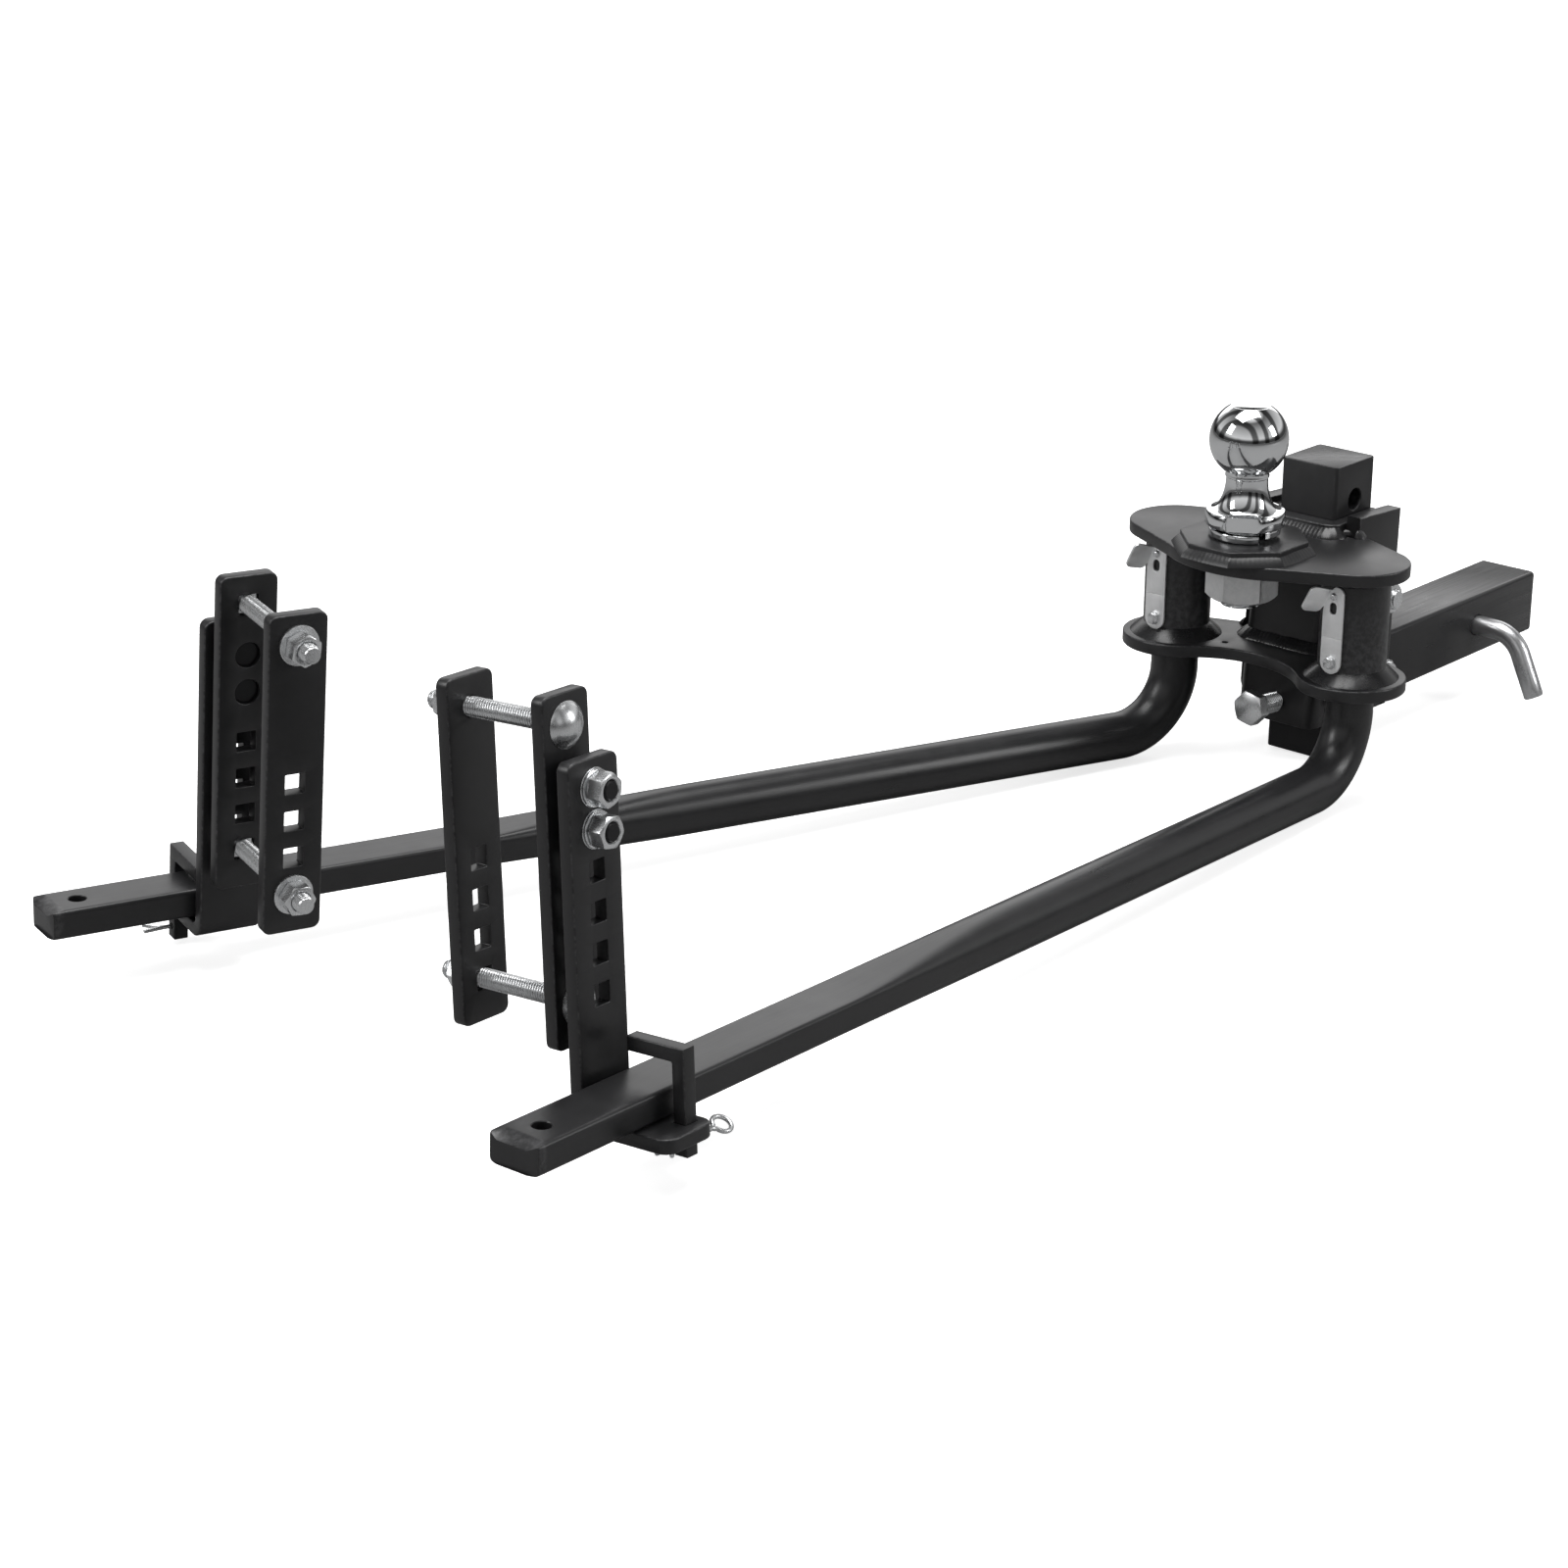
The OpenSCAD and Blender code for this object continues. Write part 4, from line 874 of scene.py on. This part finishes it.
for s in (-1, 1):
    B = bar_frame(s)
    up0 = 51.7766
    path, ks = [], []
    r_b = 50.0
    for a in np.linspace(92, 0.0, 46):           # bend, from the stem down to the run
        ar = math.radians(a)
        path.append((-up0 + r_b * math.sin(ar), 0, r_b - r_b * math.cos(ar)))
        ks.append(0.0)
    for x in np.concatenate([np.linspace(60, 430, 28), np.linspace(438, 640, 40), np.linspace(655, 905, 26)]):
        path.append((-x, 0, 0))
        ks.append(min(1.0, max(0.0, (x - 430) / 210)))
    p = np.array(path)
    t = np.gradient(p, axis=0)
    t /= np.linalg.norm(t, axis=1, keepdims=True)
    side = np.array([0.0, 1.0, 0.0])
    rings = []
    for i in range(len(p)):
        upv = np.cross(side, t[i])
        sec = bar_section(ks[i])
        rings.append(p[i] + sec[:, :1] * side + sec[:, 1:2] * upv)
    n_end = len(rings)
    # end: a crescent bevel on top, a slightly bowed face and crisp corners
    last = bar_section(1.0)
    arch = 1 - (last[:, 0] / 19.25) ** 2
    for x, bow, kw, drop in ((917, -3.5, 1.0, 0.0), (919.5, -4.0, 1.0, 0.3), (923.5, 3.4, 0.99, 5.6),
                             (924.6, 3.4, 0.965, 6.3)):
        top_z = 10.2 - drop * arch
        up_z = np.minimum(last[:, 1], top_z) * (1.0 if drop < 6 else 0.96)
        rings.append(np.stack([-(x + bow * arch), last[:, 0] * kw, up_z], 1))
    wear = [0.0] * len(rings)
    for i in range(n_end + 1, n_end + 3):
        wear[i] = 0.8
    o = Part().add(skin(rings, wear=wear), B).build(
        S[s] + "_spring_bar_rod", S[s] + "_bar_body", bar_mats[s], "bar_coat", S[s] + "_spring_bar")
    cut(o, hole_cutter(6.0, -9.5, 10.2, 0.5, 40), B @ T(-901, 0, 0))
    stem = lathe([(18.15, -204), (18.15, -111.9), (17.9, -111.5), (15.4, -111.3), (15.25, -111),
                  (15.25, -101), (15.4, -100.7), (17.9, -100.5), (18.15, -100.1), (18.15, -98.2),
                  (17.2, -97), (0.02, -97)], 64)
    Part().add(stem, T(32, s * 80, 0)).build(
        S[s] + "_spring_bar_stem", S[s] + "_bar_body", bar_mats[s], "bar_coat")


# ---------------------------------------------------------------- frame brackets
def square_loop(cz, a=13.6, r=0.8):
    return round_rect(-a / 2, a / 2, cz - a / 2, cz + a / 2, r, 3)


def xz_plate(loop, holes, y0, y1, b=1.1):
    """slab drawn in (x, z) standing between y0 and y1."""
    v, f, w = slab(loop, holes, y0, y1, b)
    return np.stack([v[:, 0], v[:, 2], v[:, 1]], 1), f, w


for s in (-1, 1):
    F = bracket_frame(s)
    name = S[s]
    BR = name + "_bracket_body"
    # bent strap: unrolled outline, then folded round the lower bend
    u1, rad = 62.0, 4.0
    u2 = u1 + (rad + PLATE / 2) * math.pi / 2
    zc = FOOT_TOP + rad
    u3 = u2 + 206 - zc
    loop = densify(round_rect(-21.75, 21.75, 0, u3, [9, 9, 6, 6], 5), 6)
    fine = []
    for p, q in zip(loop, loop[1:] + loop[:1]):
        fine.append(p)
        if u1 - 8 < p[1] < u2 + 8 and abs(p[0]) > 21.5 and abs(q[1] - p[1]) > 1.5:
            k = int(abs(q[1] - p[1]) / 0.9)
            fine += [(p[0], p[1] + (q[1] - p[1]) * j / k) for j in range(1, k)]
    kx = KEEP_X[s]
    holes = [round_rect(kx - 5.65, kx + 5.65, 8.6, 18.9, 0.8, 2)]
    centres = [u2 + STUD_Z[0] - i * PITCH - zc for i in range(2, 6)]
    holes += [round_rect(-6.8, 6.8, c - 6.8, c + 6.8, 0.8, 2) for c in centres]
    holes += [disc(0, u2 + z - zc, 7, 32) for z in STUD_Z]
    ex = [(x, u) for u in np.arange(u1 - 1, u2 + 1.5, 0.9) for x in np.arange(-19, 19.5, 4.75)]
    v, f, wr = slab(fine, holes, 0, PLATE, 1.1, extra=ex)
    x, u, t = v[:, 0], v[:, 1], v[:, 2]
    fi = np.clip((u - u1) / (u2 - u1), 0, 1) * math.pi / 2
    R_ = rad + t
    y = np.where(u < u1, -43 + u, np.where(u > u2, LEG_Y + t, 19 + R_ * np.sin(fi)))
    z = np.where(u < u1, FOOT_TOP - t, np.where(u > u2, zc + u - u2, zc - R_ * np.cos(fi)))
    Part().add((np.stack([x, y, z], 1), f, wr), F).build(
        name + "_l_bracket_strap", BR, coat_mat, "black_coat", name + "_l_bracket")
    plate = round_rect(-20, 20, 25, 242.5, 5.5, 5)
    squares = [square_loop(LOW_BOLT + i * PITCH) for i in range(4)]
    plate = densify(plate, 12)
    stud_holes = [disc(0, q, 8.75) for q in STUD_Z]
    link = xz_plate(plate, [square_loop(TOP_BOLT)] + stud_holes + squares, LINK_Y, LINK_Y + PLATE)
    Part().add(link, F).build(name + "_link_strap", BR, coat_mat, "black_coat", name + "_link_plate")
    clamp = xz_plate(plate, [disc(0, TOP_BOLT, 6.8)] + squares, CLAMP_Y, CLAMP_Y + PLATE)
    Part().add(clamp, F).build(
        name + "_clamp_strap", BR, coat_mat, "black_coat", name + "_clamp_plate")
    st, sw, sn = Part(), Part(), Part()
    for i, q in enumerate(STUD_Z):
        b = F @ T(0, 0, q) @ TO_Y
        st.add(thread(12.5, 8.9, 33, 1.95, 36, (True, False)), b)
        st.add(lathe([(9.4, 32.5), (10, 33.1), (10, 41.9), (9.4, 42.5), (8.65, 42.5), (8.65, 48.2),
                      (8.0, 49), (0.02, 49)], 48), b)
        sn.add(hexpiece(19, 11, 12.6, n=72, face=0.93), b @ T(0, 0, 9.5) @ rot("Z", (12, 40)[i]))
        tt = np.linspace(0, 1, 70)
        an = np.radians(40 + 70 * i + 348 * tt)
        sec = np.array(round_rect(-2.3, 2.3, -1.05, 1.05, 0.3, 2))
        pts = np.stack([9.3 * np.cos(an), 9.3 * np.sin(an), 21.65 + 0.3 * (1 - 2 * tt)], 1)
        sw.add(sweep(pts, sec), b)
        sw.add(washer(24, 13.1, 0.5, 0.15), b @ T(0, 0, 22.5))
    st.build(name + "_shoulder_studs", BR, oxide_mat, "dark_steel", name + "_studs")
    sw.build(name + "_stud_lock_washers", BR, zinc_mat, "bright_zinc", name + "_stud_washers")
    sn.build(name + "_stud_hex_nuts", BR, zinc_mat, "bright_zinc", name + "_stud_nuts")
    cb, cw, cn = Part(), Part(), Part()
    for i, q in enumerate((TOP_BOLT, LOW_BOLT)):
        b = F @ T(0, 0, q) @ TO_Y
        dome = [(0.02, LINK_Y - 7.5)]
        for r in np.linspace(1.5, 14.1, 12):
            dome.append((r, LINK_Y + 10.3 - math.sqrt(17.8 ** 2 - r * r)))
        dome += [(14.45, LINK_Y - 0.35), (14.2, LINK_Y - 0.02), (6, LINK_Y)]
        cb.add(lathe(dome, 56, wear=[0] * 12 + [.6, 1, .5, 0]), b)
        neck = np.array(round_rect(-6.3, 6.3, -6.3, 6.3, 0.9, 3))
        ends = (LINK_Y - 0.5, LINK_Y + 7)
        cb.add(skin([np.column_stack([neck, np.full(len(neck), zz)]) for zz in ends]), b)
        cb.add(thread(12.5, LINK_Y + 5, CLAMP_Y + PLATE + 21.5, 1.95, 36, (False, True)), b)
        cw.add(washer(27, 13.1, 2.5), b @ T(0, 0, CLAMP_Y + PLATE))
        cn.add(hexpiece(19, 11, 12.6, n=72, face=0.93),
               b @ T(0, 0, CLAMP_Y + PLATE + 2.5) @ rot("Z", (5, 33)[i]))
    cb.build(name + "_carriage_bolt_pair", BR, zinc_mat, "bright_zinc", name + "_carriage_bolts")
    cw.build(name + "_clamp_washers", BR, zinc_mat, "bright_zinc", name + "_bolt_washers")
    cn.build(name + "_clamp_nuts", BR, zinc_mat, "bright_zinc", name + "_bolt_nuts")
    # keeper hook: an L cut from plate, standing in (y, z)
    KB = name + "_keeper_body"
    topz = 23 + LIFT[s]
    hook = [(-34, topz - 68), (-24.5, topz - 68)] + arc(-23.3, topz - PLATE - 1.2, 1.2, 180, 90, 3) + \
           [(10, topz - PLATE), (10, topz), (-34, topz)]
    v, f, wr = slab(densify(hook, 8), [], kx - 5.25, kx + 5.25, 0.9)
    o = Part().add((np.stack([v[:, 2], v[:, 0], v[:, 1]], 1), f, wr), F).build(
        name + "_keeper_hook", KB, coat_mat, "black_coat", name + "_keeper")
    zp = topz - 59.5
    cut(o, hole_cutter(2.3, kx - 5.25, kx + 5.25, 0.3, 24), F @ T(0, -29.25, zp) @ TO_X)
    C = F @ T(kx, -29.25, zp)
    cp = Part()
    for sg, spread in ((1, 6), (-1, -38)):
        path = [(xx, 0, 0) for xx in np.linspace(24, -10, 9)]
        path += [(-11.5, 0.12 * spread * 0.05, 0)]
        a = math.radians(spread)
        path += [(-12 - q * math.cos(a), q * math.sin(a), 0) for q in (2, 5, 9, 13.5)]
        # the eye: a loop from one leg round to the other
        eye = [(33 - 6.3 * math.cos(b), sg * 5.4 * math.sin(b), sg * 3.1 * math.sin(b))
               for b in np.linspace(math.pi, 0.3, 16)]
        path = eye + path
        cp.add(tube(path, 1.5, 14, up=(0, 0.5, -0.87)), C)
    cp.build(name + "_cotter", KB, zinc_mat, "bright_zinc", name + "_cotter_pin")

# ---------------------------------------------------------------- floor, light and camera
lo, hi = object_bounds()
floor_z = lo[2] - 0.0015
me = bpy.data.meshes.new("floor")
reach = 40.0
corners = [(x, y, floor_z) for x, y in ((-reach, -reach), (reach, -reach), (reach, reach), (-reach, reach))]
me.from_pydata(corners, [], [[0, 1, 2, 3]])
floor = bpy.data.objects.new("floor", me)
bpy.context.scene.collection.objects.link(floor)
fm = bpy.data.materials.new("pale_floor")
fm.use_nodes = True
nt = fm.node_tree
nt.nodes.clear()
fo = nt.nodes.new("ShaderNodeOutputMaterial")
lit = nt.nodes.new("ShaderNodeBsdfDiffuse")
lit.inputs["Color"].default_value = (0.9, 0.9, 0.9, 1)
glow = nt.nodes.new("ShaderNodeEmission")
glow.inputs["Color"].default_value = (1, 1, 1, 1)
glow.inputs["Strength"].default_value = 0.72
seen = nt.nodes.new("ShaderNodeAddShader")
nt.links.new(lit.outputs[0], seen.inputs[0])
nt.links.new(glow.outputs[0], seen.inputs[1])
hidden = nt.nodes.new("ShaderNodeBsdfDiffuse")
hidden.inputs["Color"].default_value = (0.30, 0.30, 0.30, 1)
lp = nt.nodes.new("ShaderNodeLightPath")
mx = nt.nodes.new("ShaderNodeMixShader")
nt.links.new(lp.outputs["Is Camera Ray"], mx.inputs[0])
nt.links.new(hidden.outputs[0], mx.inputs[1])
nt.links.new(seen.outputs[0], mx.inputs[2])
nt.links.new(mx.outputs[0], fo.inputs[0])
me.materials.append(fm)

world = bpy.data.worlds.new("studio")
bpy.context.scene.world = world
world.use_nodes = True
nt = world.node_tree
bg = nt.nodes["Background"]
bg.inputs["Color"].default_value = (1, 1, 1, 1)
direct = nt.nodes.new("ShaderNodeLightPath")
way = nt.nodes.new("ShaderNodeTexCoord")
split = nt.nodes.new("ShaderNodeSeparateXYZ")
nt.links.new(way.outputs["Generated"], split.inputs[0])
band = nt.nodes.new("ShaderNodeValToRGB")
shades = ((0.0, 0.30), (0.49, 0.34), (0.505, 0.03), (0.56, 0.05), (0.62, 0.52), (0.80, 0.30), (0.93, 0.10))
for spot, val in shades:
    e = band.color_ramp.elements.new(spot)
    e.color = (val, val, val, 1)
up_ = nt.nodes.new("ShaderNodeMapRange")
up_.inputs["From Min"].default_value = -1.0
nt.links.new(split.outputs[2], up_.inputs["Value"])
nt.links.new(up_.outputs[0], band.inputs[0])
turn_ = nt.nodes.new("ShaderNodeTexWave")
turn_.inputs["Scale"].default_value = 0.55
turn_.inputs["Distortion"].default_value = 1.5
nt.links.new(way.outputs["Generated"], turn_.inputs["Vector"])
panel = nt.nodes.new("ShaderNodeMapRange")
for key, val in (("From Min", 0.25), ("From Max", 0.6), ("To Min", 0.25), ("To Max", 1.35)):
    panel.inputs[key].default_value = val
nt.links.new(turn_.outputs["Fac"], panel.inputs["Value"])
room = nt.nodes.new("ShaderNodeMath")
room.operation = "MULTIPLY"
nt.links.new(band.outputs[0], room.inputs[0])
nt.links.new(panel.outputs[0], room.inputs[1])
sky = nt.nodes.new("ShaderNodeMix")
nt.links.new(direct.outputs["Is Camera Ray"], sky.inputs["Factor"])
nt.links.new(room.outputs[0], sky.inputs["A"])
sky.inputs["B"].default_value = 1.1
nt.links.new(sky.outputs["Result"], bg.inputs["Strength"])


def area(name, loc, target, size, power):
    li = bpy.data.lights.new(name, "AREA")
    li.shape, li.size, li.size_y, li.energy = "RECTANGLE", size[0], size[1], power
    o = bpy.data.objects.new(name, li)
    bpy.context.scene.collection.objects.link(o)
    o.location = loc
    o.rotation_euler = (Vector(target) - Vector(loc)).to_track_quat("-Z", "Y").to_euler()


area("overhead", (-0.2, 0.2, 2.5), (-0.3, 0.0, -0.2), (2.4, 1.5), 62)
area("ahead", (3.2, 2.75, 1.85), (-0.2, 0.0, -0.2), (5.5, 2.4), 52)
area("key", (-2.6, 1.6, 1.7), (-0.3, 0.0, -0.2), (1.0, 1.5), 30)
area("rim", (1.2, -2.6, 1.2), (-0.1, 0.0, -0.2), (0.8, 1.3), 24)

cam = bpy.data.cameras.new("camera")
cam.sensor_width = 36.0
cam.lens = 36.0 * 3825 / 1600
cam.clip_end = 200
co = bpy.data.objects.new("camera", cam)
bpy.context.scene.collection.objects.link(co)
yaw, pitch, roll = math.radians(41.16), math.radians(20.44), math.radians(0.42)
fw = Vector((math.cos(yaw) * math.cos(pitch), math.sin(yaw) * math.cos(pitch), -math.sin(pitch)))
rt = Vector((math.sin(yaw), -math.cos(yaw), 0))
up = rt.cross(fw)
r2 = rt * math.cos(roll) + up * math.sin(roll)
u2_ = up * math.cos(roll) - rt * math.sin(roll)
mw = Matrix((r2, u2_, -fw)).transposed().to_4x4()
mw.translation = Vector((-2.2413, -1.5064, 0.7242))
co.matrix_world = mw
bpy.context.scene.camera = co
bpy.context.scene.view_settings.view_transform = "Standard"
